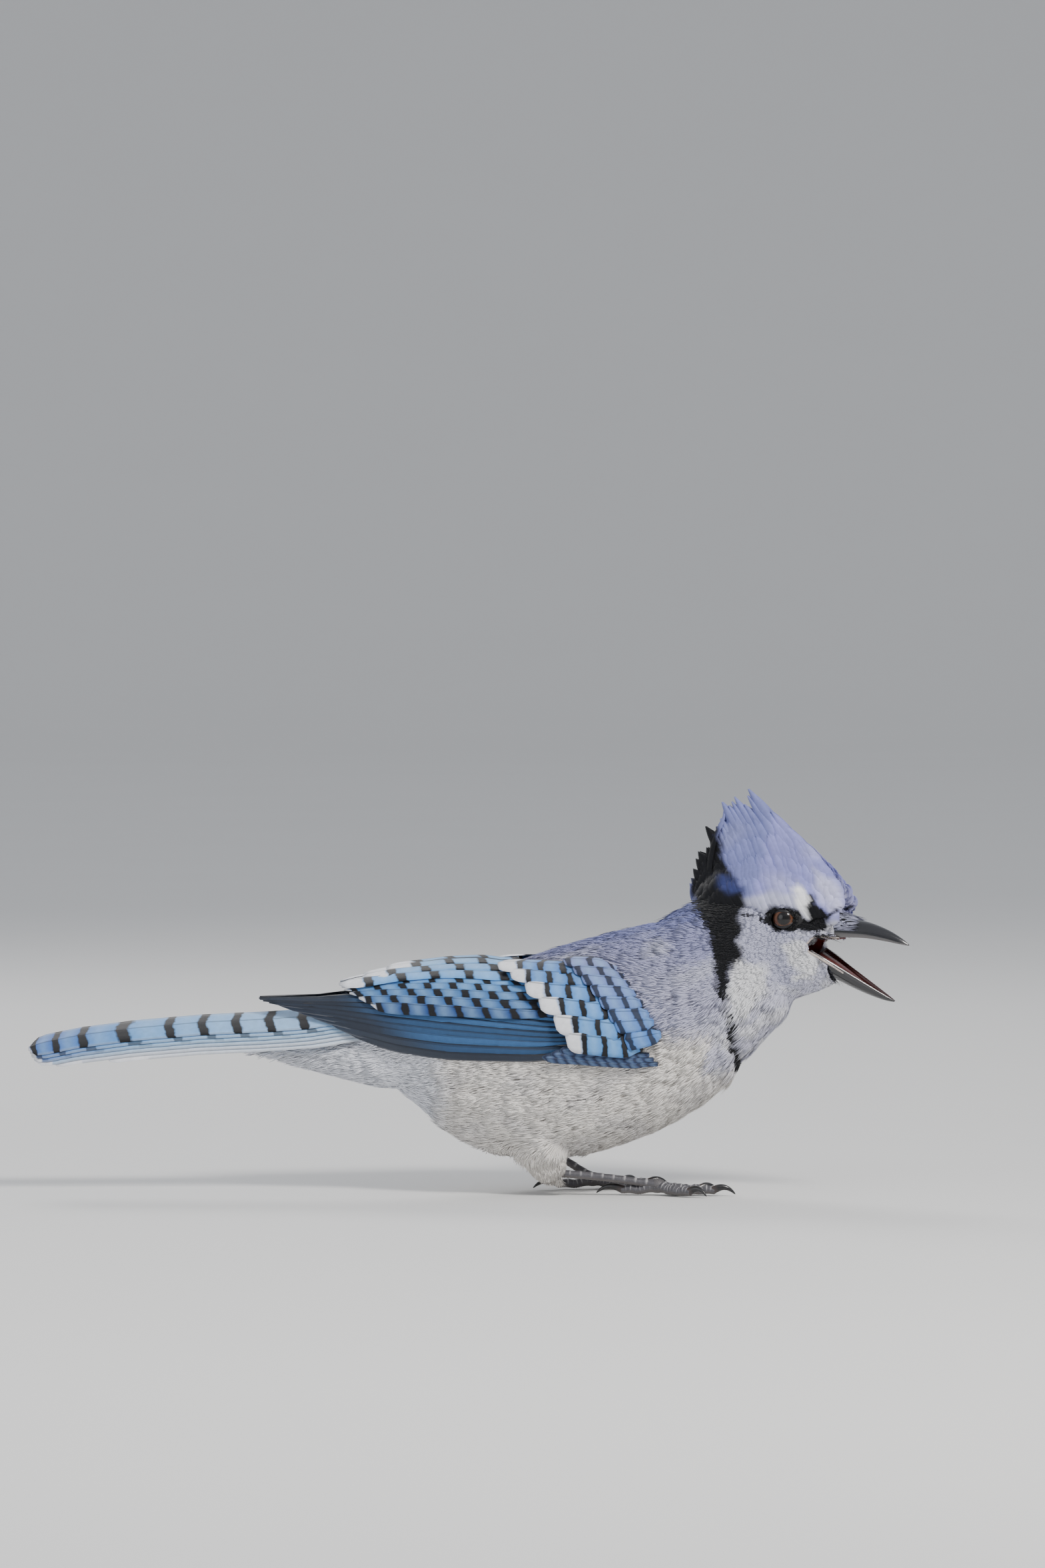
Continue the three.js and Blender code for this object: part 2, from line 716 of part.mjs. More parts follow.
// The space the tail takes, swollen by extra, as far back as it needs to be cut from its neighbours
function tailEnvelope(from, to, extra, shrink = 1) {
  const rings = [];
  const outer = 0.2 + tailStep.across * (tailPairs - 1) + tailWidth * Math.cos(tailSlope) + 1;
  const outerDrop = tailStep.down * (tailPairs - 1) + tailWidth * Math.sin(tailSlope);
  const innerDrop = tailStep.down * tailPairs;
  for (let j = 0; j <= 6; j++) {
    const x = lerp(from, to, j / 6);
    const r = ridgeAt(x);
    const half = [
      [0, r + 0.4 + extra],
      [(outer - 4) * shrink, r + 0.4 + extra - (tailWidth * Math.sin(tailSlope) - 1) * shrink],
      [outer * shrink + extra, r - outerDrop * shrink + 0.6],
      [outer * shrink + extra, r - (outerDrop + 0.8) * shrink - extra],
      [(outer - 9.6) * shrink, r - innerDrop * shrink - 0.4 - extra],
    ];
    const points = half.map(([y, z]) => V(x, y, z));
    const mirror = half.slice(1).reverse().map(([y, z]) => V(x, -y, z));
    rings.push([...points, ...mirror]);
  }
  return solidOf(loft(rings));
}

function tail() {
  const feathers = [-1, 1].flatMap((side) => tailTips.map((_, pair) => tailFeather(side, pair)));
  return joined([tailEnvelope(tailRoot, tailRoot - tailCore, -gap, 0.8), ...feathers]);
}

// Crest feathers of one flank, front to back: root and tip, each forward and up in the head's frame
const crestFeathers = [
  [24, 3, 21.5, 12],
  [22, 6, 17, 18.5],
  [20, 8, 11.5, 24.5],
  [17, 9, 5.5, 29.8],
  [14, 10, 0.5, 34.6],
  [11, 11, -7.3, 41.4],
  [5, 12, -12, 38.9],
  [-1, 12, -16.2, 37.2],
  [-5, 12, -16.8, 32],
  [-9, 11, -21.8, 29.4],
  [-14, 8, -24.2, 21.4],
  [-17, 5, -25.4, 16],
  [-19, 1, -25.8, 10],
];
const crestWidth = 6.5;
const crestShape = [0.9, 1, 0.6, 0.15];
const crestSides = 10;
const crestLap = 0.4; // every other feather lies this much further out

// How far to the side the crest's flank lies at a height above the head's middle
const crestFlank = (u, w) => Math.max(0.5, 8.4 - 0.27 * w - 0.1 * Math.abs(u));

function crestFeather(side, [rootU, rootW, tipU, tipW], index) {
  const over = index % 2 ? crestLap : 0;
  const place = (t) => {
    const u = lerp(rootU, tipU, t) + 1.2 * Math.sin(Math.PI * t);
    const w = lerp(rootW, tipW, t);
    return inHead(u, side * (crestFlank(u, w) + over), w);
  };
  const stations = vaneSteps.map((t, j) => {
    const along = place(Math.min(t + 0.05, 1)).sub(place(Math.max(t - 0.05, 0))).normalize();
    const out = headLeft.clone().multiplyScalar(side);
    const left = along.clone().cross(out).normalize();
    const normal = left.clone().cross(along).normalize();
    return { at: place(t), normal, left, half: (crestWidth / 2) * crestShape[j] };
  });
  return vane(stations);
}

// The crest's inside: a narrow wedge that holds the feathers' roots
function crestCore() {
  const rows = [
    // front, back, height, half width
    [24, -19, 2, 8.2],
    [20, -20, 8, 7],
    [12, -20, 17, 4.8],
    [4, -18, 26, 2.2],
    [-3, -15, 32, 0.8],
  ];
  const rings = rows.map(([front, back, w, half]) => {
    const points = [];
    for (let i = 0; i < crestSides; i++) {
      const t = (i / crestSides) * 2 * Math.PI;
      const u = (front + back) / 2 + ((front - back) / 2) * Math.cos(t);
      points.push(inHead(u, half * Math.sin(t), w));
    }
    return points;
  });
  return solidOf(loft(rings));
}

function crest() {
  const feathers = [-1, 1].flatMap((side) => crestFeathers.map((f, i) => crestFeather(side, f, i)));
  return joined([crestCore(), ...feathers]);
}

const mouth = joined([mouthWedge(), throatPocket()]);
const beds = joined([wingBed(-1), wingBed(1)]);
const legGrown = { right: tarsus(legs.right, gap), left: tarsus(legs.left, gap) };

const tailGrown = tailEnvelope(tailRoot + gap, -112, gap);
const rightWing = wing(-1)
  .subtract(trunkGrown.subtract(wingBed(-1, gap)))
  .subtract(tailGrown);

nodes.tail = tail();
nodes.undertail = undertailBody().subtract(trunkGrown).subtract(tailGrown);
nodes.torso = behindCollar(flesh).subtract(beds).subtract(legGrown.left).subtract(tailGrown);
nodes.neck = behindThroat(aheadOfCollar(flesh));
nodes.head = aheadOfThroat(flesh)
  .add(lids(-1))
  .add(lids(1))
  .subtract(mouth)
  .add(gapeRim(-1))
  .add(gapeRim(1))
  .subtract(billUpper(gap))
  .subtract(billLower(gap))
  .subtract(eyeBall(-1, gap))
  .subtract(eyeBall(1, gap));
nodes.crest = crest().subtract(skull(gap)).subtract(neckBody(gap)).subtract(trunkGrown);
nodes.bill_upper = billUpper();
nodes.bill_lower = billLower().subtract(billTrough());
nodes.tongue = tongueBody();
for (const name of ["right", "left"]) {
  const leg = legs[name];
  nodes["eye_" + name] = eyeBall(leg.side);
  nodes["wing_" + name] = leg.side < 0 ? rightWing : rightWing.mirror([0, 1, 0]);
  const foot = joined([sole(leg), ...toes.map((t) => toeBody(leg, t))]).trimByPlane([0, 0, 1], 0);
  nodes["thigh_" + name] = tube(shanks[name].path, shanks[name].radii, 14, 0.86)
    .subtract(trunkGrown)
    .subtract(legGrown[name]);
  nodes["leg_" + name] = tarsus(leg).subtract(sole(leg, gap));
  nodes["foot_" + name] = foot.subtract(legGrown[name]);
  toes.forEach((t, i) => {
    nodes["claw_" + name + "_" + (i + 1)] = claw(leg, t);
  });
}

// The origin is under the middle of the whole bird's box
const box = new THREE.Box3();
for (const solid of Object.values(nodes)) {
  const { min, max } = solid.boundingBox();
  box.union(new THREE.Box3(V(...min), V(...max)));
}
const middle = box.getCenter(V(0, 0, 0));

// Plain colours, by the start of a node's name
const colours = {
  torso: "#8f92b8", neck: "#9a9cc0", head: "#a9add0", thigh: "#b9b8bd", undertail: "#dfe3ea",
  crest: "#7f8fca", wing: "#2f5fae", tail: "#4f8fcf", bill: "#1c1e24", tongue: "#5a2620",
  eye: "#1a120c", leg: "#202226", foot: "#26282c", claw: "#101114",
};
const roughness = (name) => (/bill|eye|tongue/.test(name) ? 0.25 : 0.8);

const group = new THREE.Group();
for (const [name, solid] of Object.entries(nodes)) {
  const g = geometryFrom(largest(solid.translate([-middle.x, -middle.y, 0])));
  const color = colours[name.split("_")[0]];
  const mesh = new THREE.Mesh(g, new THREE.MeshStandardMaterial({ color, roughness: roughness(name) }));
  mesh.name = name;
  group.add(mesh);
}

export default group;
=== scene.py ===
# A life-size blue jay as a still museum model: skin, coat, wings, tail, crest, bill, eyes and feet.
import math

import bpy
import numpy as np
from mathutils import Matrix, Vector


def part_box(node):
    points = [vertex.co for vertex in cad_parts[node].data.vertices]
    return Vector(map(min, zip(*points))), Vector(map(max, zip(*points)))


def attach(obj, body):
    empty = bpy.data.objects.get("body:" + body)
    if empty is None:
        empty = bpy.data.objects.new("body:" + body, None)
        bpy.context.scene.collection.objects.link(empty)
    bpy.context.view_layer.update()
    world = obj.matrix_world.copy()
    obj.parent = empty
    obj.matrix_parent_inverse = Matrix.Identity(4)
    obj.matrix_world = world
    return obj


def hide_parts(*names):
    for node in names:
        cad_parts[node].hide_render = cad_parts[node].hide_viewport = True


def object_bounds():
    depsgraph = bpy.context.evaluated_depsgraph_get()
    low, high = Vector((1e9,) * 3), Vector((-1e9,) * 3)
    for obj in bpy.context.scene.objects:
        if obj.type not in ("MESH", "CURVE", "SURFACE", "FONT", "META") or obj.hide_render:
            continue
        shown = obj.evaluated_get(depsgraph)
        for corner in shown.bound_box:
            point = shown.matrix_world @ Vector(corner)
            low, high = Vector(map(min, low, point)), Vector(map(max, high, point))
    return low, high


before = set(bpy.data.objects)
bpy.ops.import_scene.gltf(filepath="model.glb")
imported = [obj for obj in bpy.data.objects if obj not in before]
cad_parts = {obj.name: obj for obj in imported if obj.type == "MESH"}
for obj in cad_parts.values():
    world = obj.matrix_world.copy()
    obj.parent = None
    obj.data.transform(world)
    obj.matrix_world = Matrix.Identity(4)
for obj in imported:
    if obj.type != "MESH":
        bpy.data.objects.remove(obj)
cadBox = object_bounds()
bpy.ops.object.select_all(action="DESELECT")
scene = bpy.context.scene
rng = np.random.default_rng(11)

mm = 0.001
tailTip = -138.5  # where the longest tail feather ends, in the drawing's millimetres
drawnShift = np.array([cadBox[0].x / mm - tailTip, 0, 0])
print("frame loaded, box", [round(v, 4) for v in (*cadBox[0], *cadBox[1])])

# room, light and camera
room = {"floor": (0.80, 0.80, 0.79), "radius": 4.6, "bend": 1.6, "wall": 3.0, "world": 0.62,
        "key": 15.0, "fill": 3.0, "rim": 5.0}
view = {"distance": 2.5, "width": 0.3293, "aim": (0.0173, 0, 0.1289), "rise": 2.0, "sensor": 36.0}


def addCamera():
    bpy.ops.object.camera_add()
    camera = bpy.context.object
    camera.name = "camera"
    camera.data.sensor_fit = "HORIZONTAL"
    camera.data.sensor_width = view["sensor"]
    camera.data.lens = view["sensor"] * view["distance"] / view["width"]
    rise = math.radians(view["rise"])
    back = Vector((0, -math.cos(rise), math.sin(rise)))
    camera.location = Vector(view["aim"]) + back * view["distance"]
    camera.rotation_euler = (-back).to_track_quat("-Z", "Y").to_euler()
    camera.data.clip_start, camera.data.clip_end = 0.1, 30
    scene.camera = camera


def addLight(name, place, size, power, colour):
    bpy.ops.object.light_add(type="AREA", location=place)
    light = bpy.context.object
    light.name = name
    light.data.shape = "DISK"
    light.data.size = size
    light.data.energy = power
    light.data.color = colour
    light.rotation_euler = (Vector((0.01, 0, 0.06)) - Vector(place)).to_track_quat("-Z", "Y").to_euler()


addCamera()
addLight("keyLight", (0.55, -0.85, 1.0), 0.35, room["key"], (1, 0.97, 0.93))
addLight("fillLight", (-0.9, -0.9, 0.45), 0.9, room["fill"], (0.93, 0.96, 1))
addLight("rimLight", (-0.3, 0.95, 0.9), 0.5, room["rim"], (1, 0.98, 0.96))
world = bpy.data.worlds.new("softRoom")
scene.world = world
world.use_nodes = True
world.node_tree.nodes["Background"].inputs["Color"].default_value = (0.9, 0.93, 1, 1)
world.node_tree.nodes["Background"].inputs["Strength"].default_value = room["world"]


# colours
def paint(red, green, blue):  # screen colour, 0 to 255, as linear light
    return np.array([(c / 255 + 0.055) ** 2.4 / 1.055 ** 2.4 if c > 10 else c / 3295 for c in (red, green, blue)])


tint = {name: paint(*screen) for name, screen in {
    "mantle": (154, 156, 194), "mantleBlue": (114, 122, 180), "mantlePale": (196, 197, 214), "breast": (184, 184, 208),
    "belly": (246, 241, 235), "flank": (232, 228, 226), "white": (240, 240, 243), "undertail": (232, 234, 242),
    "rump": (176, 192, 226), "crown": (140, 142, 200), "crownPale": (192, 192, 224), "brow": (186, 188, 214),
    "cheek": (192, 193, 216), "throat": (206, 206, 224), "black": (12, 13, 18), "napeBlue": (52, 60, 108),
    "mouth": (92, 26, 20)}.items()}


def ease(value, low, high):  # 0 below low, 1 above high, smooth between
    t = np.clip((value - low) / (high - low), 0, 1)
    return t * t * (3 - 2 * t)


def mixed(a, b, share):
    return a * (1 - share[:, None]) + b * share[:, None]


def unit(values):
    return values / (np.linalg.norm(values, axis=-1, keepdims=True) + 1e-9)


def aside(values, forward):  # made square to forward
    return unit(values - forward * (forward * values).sum(1, keepdims=True))


# where the head, the trunk and the wings are, in millimetres, as drawn
headSizes = {"at": np.array([95, -3, 85.9]), "turn": math.radians(-24), "eye": (9, 8.9, 1.3)}
headAhead = np.array([math.cos(headSizes["turn"]), math.sin(headSizes["turn"]), 0])
headLeft = np.array([-math.sin(headSizes["turn"]), math.cos(headSizes["turn"]), 0])


def inHead(u, v, w):
    return headSizes["at"] + u * headAhead + v * headLeft + np.array([0, 0, w])


def headPoints(u, v, w):
    return headSizes["at"] + u[..., None] * headAhead + v[..., None] * headLeft + w[..., None] * np.array([0, 0, 1.0])


def headPlace(points):  # forward, left and up from the middle of the head
    r = points - headSizes["at"]
    return r @ headAhead, r @ headLeft, r[:, 2]


def mirrored(points):  # each point of the left side goes to its place on the right side
    x, z = points[:, 0], points[:, 2]
    share = ease(x, 60, 84) * ease(z, 46, 76)
    angle = headSizes["turn"] * share
    c, s = np.cos(angle), np.sin(angle)
    rx, ry = x - 95, points[:, 1] + 3 * share
    along, left = rx * c + ry * s, -np.abs(-rx * s + ry * c)
    return 95 + along * c - left * s, along * s + left * c - 3 * share, z


picture = {"left": 701.5, "floor": 1790, "scale": 0.21}  # where x and z are 0 in the picture, and millimetres per pixel


def side(px, py):  # a place in the picture, in pixels, as x and z on the bird's right side
    return (px - picture["left"]) * picture["scale"], (picture["floor"] - py) * picture["scale"]


def patch(x, z, outline, soft):  # 1 inside the outline, 0 outside, over a soft edge in millimetres
    corners = np.array([side(*p) for p in outline])
    nearest = np.full(len(x), 1e9)
    inside = np.zeros(len(x), bool)
    for (ax, az), (bx, bz) in zip(corners, np.roll(corners, -1, 0)):
        ex, ez = bx - ax, bz - az
        t = np.clip(((x - ax) * ex + (z - az) * ez) / (ex * ex + ez * ez), 0, 1)
        nearest = np.minimum(nearest, np.hypot(x - ax - t * ex, z - az - t * ez))
        crosses = (az > z) != (bz > z)
        inside ^= crosses & (x < ax + (z - az) * ex / np.where(ez == 0, 1e-9, ez))
    return ease(np.where(inside, nearest, -nearest), -soft, soft)


def ripple(points, size, seed):  # smooth variation from -1 to 1
    p = points / size + seed
    a = np.sin(p[:, 0] * 1.7 + 2.1 * np.sin(p[:, 2] * 1.3 + seed) + 1.1 * np.sin(p[:, 1] * 1.9))
    b = np.sin(p[:, 2] * 2.3 + 1.7 * np.sin(p[:, 0] * 1.1 + seed * 2) + 0.9 * np.sin(p[:, 1] * 1.3))
    return 0.5 * (a + b)


# the marks in the order that they are laid, each with its colour, edge softness and outline
marks = [
    ("cheek", 1.8, [(1090, 1330), (1180, 1390), (1230, 1400), (1222, 1450), (1180, 1480), (1120, 1460), (1104, 1400)]),
    ("white", 1.4, [(1108, 1436), (1150, 1446), (1146, 1474), (1130, 1510), (1104, 1520), (1090, 1486), (1096, 1452)]),
    ("white", 1.0, [(1168, 1412), (1196, 1404), (1214, 1424), (1232, 1440), (1220, 1458), (1190, 1450)]),
    ("white", 0.9, [(1186, 1456), (1212, 1452), (1216, 1464), (1192, 1468)]),
    ("brow", 1.4, [(1110, 1350), (1150, 1336), (1186, 1338), (1206, 1362), (1196, 1372), (1160, 1358), (1126, 1366)]),
    ("white", 0.7, [(1186, 1328), (1197, 1322), (1213, 1350), (1211, 1372), (1196, 1366)]),
    ("crownPale", 2.0, [(1216, 1300), (1252, 1322), (1270, 1366), (1244, 1366), (1224, 1338)]),
    ("black", 0.5, [(1212, 1331), (1225, 1356), (1240, 1370), (1237, 1388), (1222, 1396), (1206, 1394), (1190, 1388),
                    (1186, 1372), (1209, 1372), (1207, 1352)]),
    ("black", 0.35, [(1236, 1372), (1248, 1358), (1256, 1357), (1262, 1364), (1256, 1361), (1248, 1366), (1240, 1378)]),
    ("black", 0.4, [(1150, 1359), (1170, 1354), (1190, 1360), (1200, 1370), (1200, 1386), (1184, 1396), (1160, 1394),
                    (1146, 1384), (1142, 1374)]),
    ("black", 0.25, [(1150, 1374), (1126, 1370), (1108, 1366), (1108, 1369), (1126, 1373.5), (1150, 1378)]),
    ("black", 1.2, [(1034, 1230), (1072, 1236), (1080, 1262), (1088, 1296), (1102, 1320), (1116, 1336), (1112, 1372),
                    (1107, 1411), (1116, 1436), (1099, 1444), (1091, 1461), (1089, 1486), (1091, 1512), (1080, 1500),
                    (1072, 1466), (1069, 1420), (1058, 1385), (1041, 1354), (1030, 1320), (1030, 1270)]),
    ("black", 0.8, [(1088, 1505), (1096, 1512), (1107, 1534), (1105, 1556), (1112, 1586), (1124, 1604), (1110, 1618),
                    (1095, 1590), (1091, 1552)]),
    ("napeBlue", 1.4, [(1074, 1312), (1098, 1318), (1114, 1334), (1098, 1340), (1078, 1332)]),
]


def plumageAt(points):  # the coat's colour at each point
    rx, ry, z = mirrored(points)
    flat = np.stack([rx, ry, z], 1)
    x, z = rx + 0.7 * ripple(flat, 2.4, 3.0), z + 0.7 * ripple(flat, 2.0, 7.0)  # ragged edges
    blotch = ripple(flat, 7.0, 1.0)
    colour = mixed(tint["belly"], tint["flank"], ease(blotch, -0.2, 1) * 0.8)
    edge = 57 + 5 * np.sin(x / 14) - 0.10 * (x - 62)  # where the mantle's blue fades into the white breast
    back = ease(z, edge - 5, edge + 4) * ease(x, 24, 50) + (1 - ease(x, 24, 50)) * ease(z, 60, 66)
    mantle = mixed(tint["breast"], tint["mantle"], ease(z, 64, 80))
    mantle = mixed(mantle, tint["mantlePale"], ease(blotch, 0, 1.1) * 0.8)
    mantle = mixed(mantle, tint["mantleBlue"], ease(z - 0.22 * x, 66, 73) * 0.8)
    colour = mixed(colour, mantle, np.clip(back, 0, 1))
    colour = mixed(colour, tint["undertail"], ease(-x, 2, 12) * (1 - ease(z, 50, 54)))
    colour = mixed(colour, tint["rump"], ease(-x, 6, 18) * ease(z, 48, 53))
    head = ease(x - 0.28 * (z - 40), 72.5, 75.5) * ease(z, 36, 42)
    # the throat's lavender-grey, between its white streaks, is painted shade
    throat = mixed(tint["throat"], tint["white"], ease(ripple(flat, 3.2, 5.0), -0.2, 0.9) * 0.7)
    crown = mixed(tint["crown"], tint["crownPale"], ease(blotch, 0.1, 1.2) * 0.4)
    colour = mixed(colour, mixed(throat, crown, ease(z + 0.30 * (x - 98), 89, 94)), head)
    for name, soft, outline in marks:
        colour = mixed(colour, tint[name], patch(x, z, outline, soft))
    return colour


def mouthShare(points):  # 1 on the lining of the mouth
    u, v, w = headPlace(points)
    wedge = (w < -4.2 - 0.02 * u) & (w > -7.4 - 0.66 * (u - 13.6)) & (u > 13.2) & (np.abs(v) < 7.1)
    pocket = ((u - 15.4) / 9) ** 2 + (v / 6.8) ** 2 + ((w + 8) / 5.2) ** 2 < 1
    return (wedge | pocket).astype(float)


# mesh and material helpers
def meshPiece(name, points, faces, material, smooth=True):
    mesh = bpy.data.meshes.new(name)
    faces = np.asarray(faces, np.int32)
    count, corners = faces.shape
    placed = (np.asarray(points, float) + drawnShift) * mm
    mesh.vertices.add(len(placed))
    mesh.vertices.foreach_set("co", placed.astype(np.float32).ravel())
    mesh.loops.add(count * corners)
    mesh.loops.foreach_set("vertex_index", faces.ravel())
    mesh.polygons.add(count)
    mesh.polygons.foreach_set("loop_start", np.arange(0, count * corners, corners, dtype=np.int32))
    mesh.polygons.foreach_set("use_smooth", np.full(count, smooth))
    mesh.update(calc_edges=True)
    piece = bpy.data.objects.new(name, mesh)
    scene.collection.objects.link(piece)
    mesh.materials.append(material)
    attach(piece, "root")
    return piece


def readAll(items, field, width, kind=np.float32):
    flat = np.zeros(len(items) * width, kind)
    items.foreach_get(field, flat)
    return flat.reshape(-1, width)


def facingOut(points, faces, some=None):  # faces turned to point out, as the first ones tell
    p = points[faces[:some]]
    p = p - p.reshape(-1, 3).mean(0)
    return faces if np.einsum("ij,ij->", p[:, 0], np.cross(p[:, 1], p[:, 2])) > 0 else faces[:, ::-1]


def choose(piece):
    bpy.ops.object.select_all(action="DESELECT")
    piece.select_set(True)
    bpy.context.view_layer.objects.active = piece


def editAll(*steps):  # each step is an operator with its settings, on the whole mesh
    bpy.ops.object.mode_set(mode="EDIT")
    for operator, settings in steps:
        bpy.ops.mesh.select_all(action="SELECT")
        operator(**settings)
    bpy.ops.object.mode_set(mode="OBJECT")


def addBakeMap(piece, faces, spots):  # spots is one place for each vertex
    layer = piece.data.uv_layers.new(name="OFBake")
    layer.data.foreach_set("uv", spots.reshape(-1, 2)[faces.ravel()].astype(np.float32).ravel())


def addColour(piece, name, values):  # values is one row of three for each vertex
    layer = piece.data.attributes.new(name, "FLOAT_COLOR", "POINT")
    layer.data.foreach_set("color", np.concatenate([values, np.ones((len(values), 1))], 1).astype(np.float32).ravel())


def newMaterial(name, settings):
    material = bpy.data.materials.new(name)
    material.use_nodes = True
    shader = material.node_tree.nodes["Principled BSDF"]
    for key, value in settings.items():
        shader.inputs[key].default_value = value
    return material, material.node_tree, shader


def finish(tree, shader, colour, height, strength, distance):  # colour and bump to the shader
    tree.links.new(colour, shader.inputs["Base Color"])
    node = addNode(tree, "ShaderNodeBump", [("Strength", strength), ("Distance", distance), ("Height", height)])
    tree.links.new(node.outputs[0], shader.inputs["Normal"])


def addNode(tree, kind, links=(), **settings):  # links are (input, value or output socket)
    node = tree.nodes.new(kind)
    for key, value in settings.items():
        setattr(node, key, value)
    for key, value in links:
        if isinstance(value, bpy.types.NodeSocket):
            tree.links.new(value, node.inputs[key])
        else:
            node.inputs[key].default_value = value
    return node


def calc(tree, operation, a, b=0.0, c=0.0):
    return addNode(tree, "ShaderNodeMath", [(0, a), (1, b), (2, c)], operation=operation).outputs[0]


def blendColours(tree, share, a, b, kind="MIX"):
    node = addNode(tree, "ShaderNodeMix", [(0, share), (6, a), (7, b)], data_type="RGBA", blend_type=kind)
    return node.outputs[2]


def attribute(tree, name):
    return addNode(tree, "ShaderNodeAttribute", attribute_name=name).outputs["Color"]


def split(tree, colour):
    return addNode(tree, "ShaderNodeSeparateColor", [(0, colour)]).outputs


def noiseOf(tree, scale, detail=2.0, stretch=None):
    place = addNode(tree, "ShaderNodeTexCoord").outputs["Object"]
    if stretch:
        place = addNode(tree, "ShaderNodeMapping", [("Vector", place), ("Scale", stretch)]).outputs[0]
    return addNode(tree, "ShaderNodeTexNoise", [("Vector", place), ("Scale", scale), ("Detail", detail)]).outputs[0]


def ramped(tree, value, start, end, top=1.0):  # 0 at start, top at end
    links = [(0, value), (1, start), (2, end), (3, 0.0), (4, top)]
    return addNode(tree, "ShaderNodeMapRange", links).outputs[0]


def greyOf(tree, value):
    return addNode(tree, "ShaderNodeCombineColor", [(0, value), (1, value), (2, value)]).outputs[0]


# materials
vaneScale = {"length": 200.0, "mark": 20.0}  # millimetres that a full value of these attributes stands for


def mottleGroup():  # fine uneven tone, shared by skin, coat, horn and feet
    group = bpy.data.node_groups.new("mottle", "ShaderNodeTree")
    for name, kind, way in (("Colour", "NodeSocketColor", "INPUT"), ("Scale", "NodeSocketFloat", "INPUT"),
                            ("Amount", "NodeSocketFloat", "INPUT"), ("Colour", "NodeSocketColor", "OUTPUT"),
                            ("Height", "NodeSocketFloat", "OUTPUT")):
        group.interface.new_socket(name=name, in_out=way, socket_type=kind)
    start, end = group.nodes.new("NodeGroupInput"), group.nodes.new("NodeGroupOutput")
    place = addNode(group, "ShaderNodeTexCoord").outputs["Object"]
    grain = addNode(group, "ShaderNodeTexNoise", [("Vector", place), ("Scale", start.outputs[1]), ("Detail", 3.0)])
    shade = calc(group, "MULTIPLY_ADD", calc(group, "SUBTRACT", grain.outputs[0], 0.5), start.outputs[2], 1.0)
    group.links.new(blendColours(group, 1.0, start.outputs[0], greyOf(group, shade), "MULTIPLY"), end.inputs[0])
    group.links.new(grain.outputs[0], end.inputs[1])
    return group


mottle = mottleGroup()


def addMottle(tree, colour, scale, amount):
    node = addNode(tree, "ShaderNodeGroup", node_tree=mottle)
    if isinstance(colour, bpy.types.NodeSocket):
        tree.links.new(colour, node.inputs[0])
    else:
        node.inputs[0].default_value = (*colour, 1)
    node.inputs[1].default_value, node.inputs[2].default_value = scale, amount
    return node.outputs


def coatMaterial(name, roughness, scale, amount, bumpDepth):
    material, tree, shader = newMaterial(name, {"Roughness": roughness, "Sheen Weight": 0.10, "Sheen Roughness": 0.5,
                                                "Specular IOR Level": 0.15})
    out = addMottle(tree, attribute(tree, "plumage"), scale, amount)
    finish(tree, shader, out[0], out[1], 0.5, bumpDepth)
    return material


def hornMaterial(name, base, pale, roughness, coat):  # bill and claws: dark horn with paler worn edges
    material, tree, shader = newMaterial(name, {"Roughness": roughness, "Coat Weight": coat, "Coat Roughness": 0.08})
    worn, inside, _ = split(tree, attribute(tree, "wear"))
    fibre = noiseOf(tree, 900, 3.0, (1, 1, 3))
    dark = blendColours(tree, inside, addMottle(tree, base, 500, 0.5)[0], (*paint(54, 17, 15), 1))
    finish(tree, shader, blendColours(tree, worn, dark, (*pale, 1)), fibre, 0.18, 0.0003)
    return material


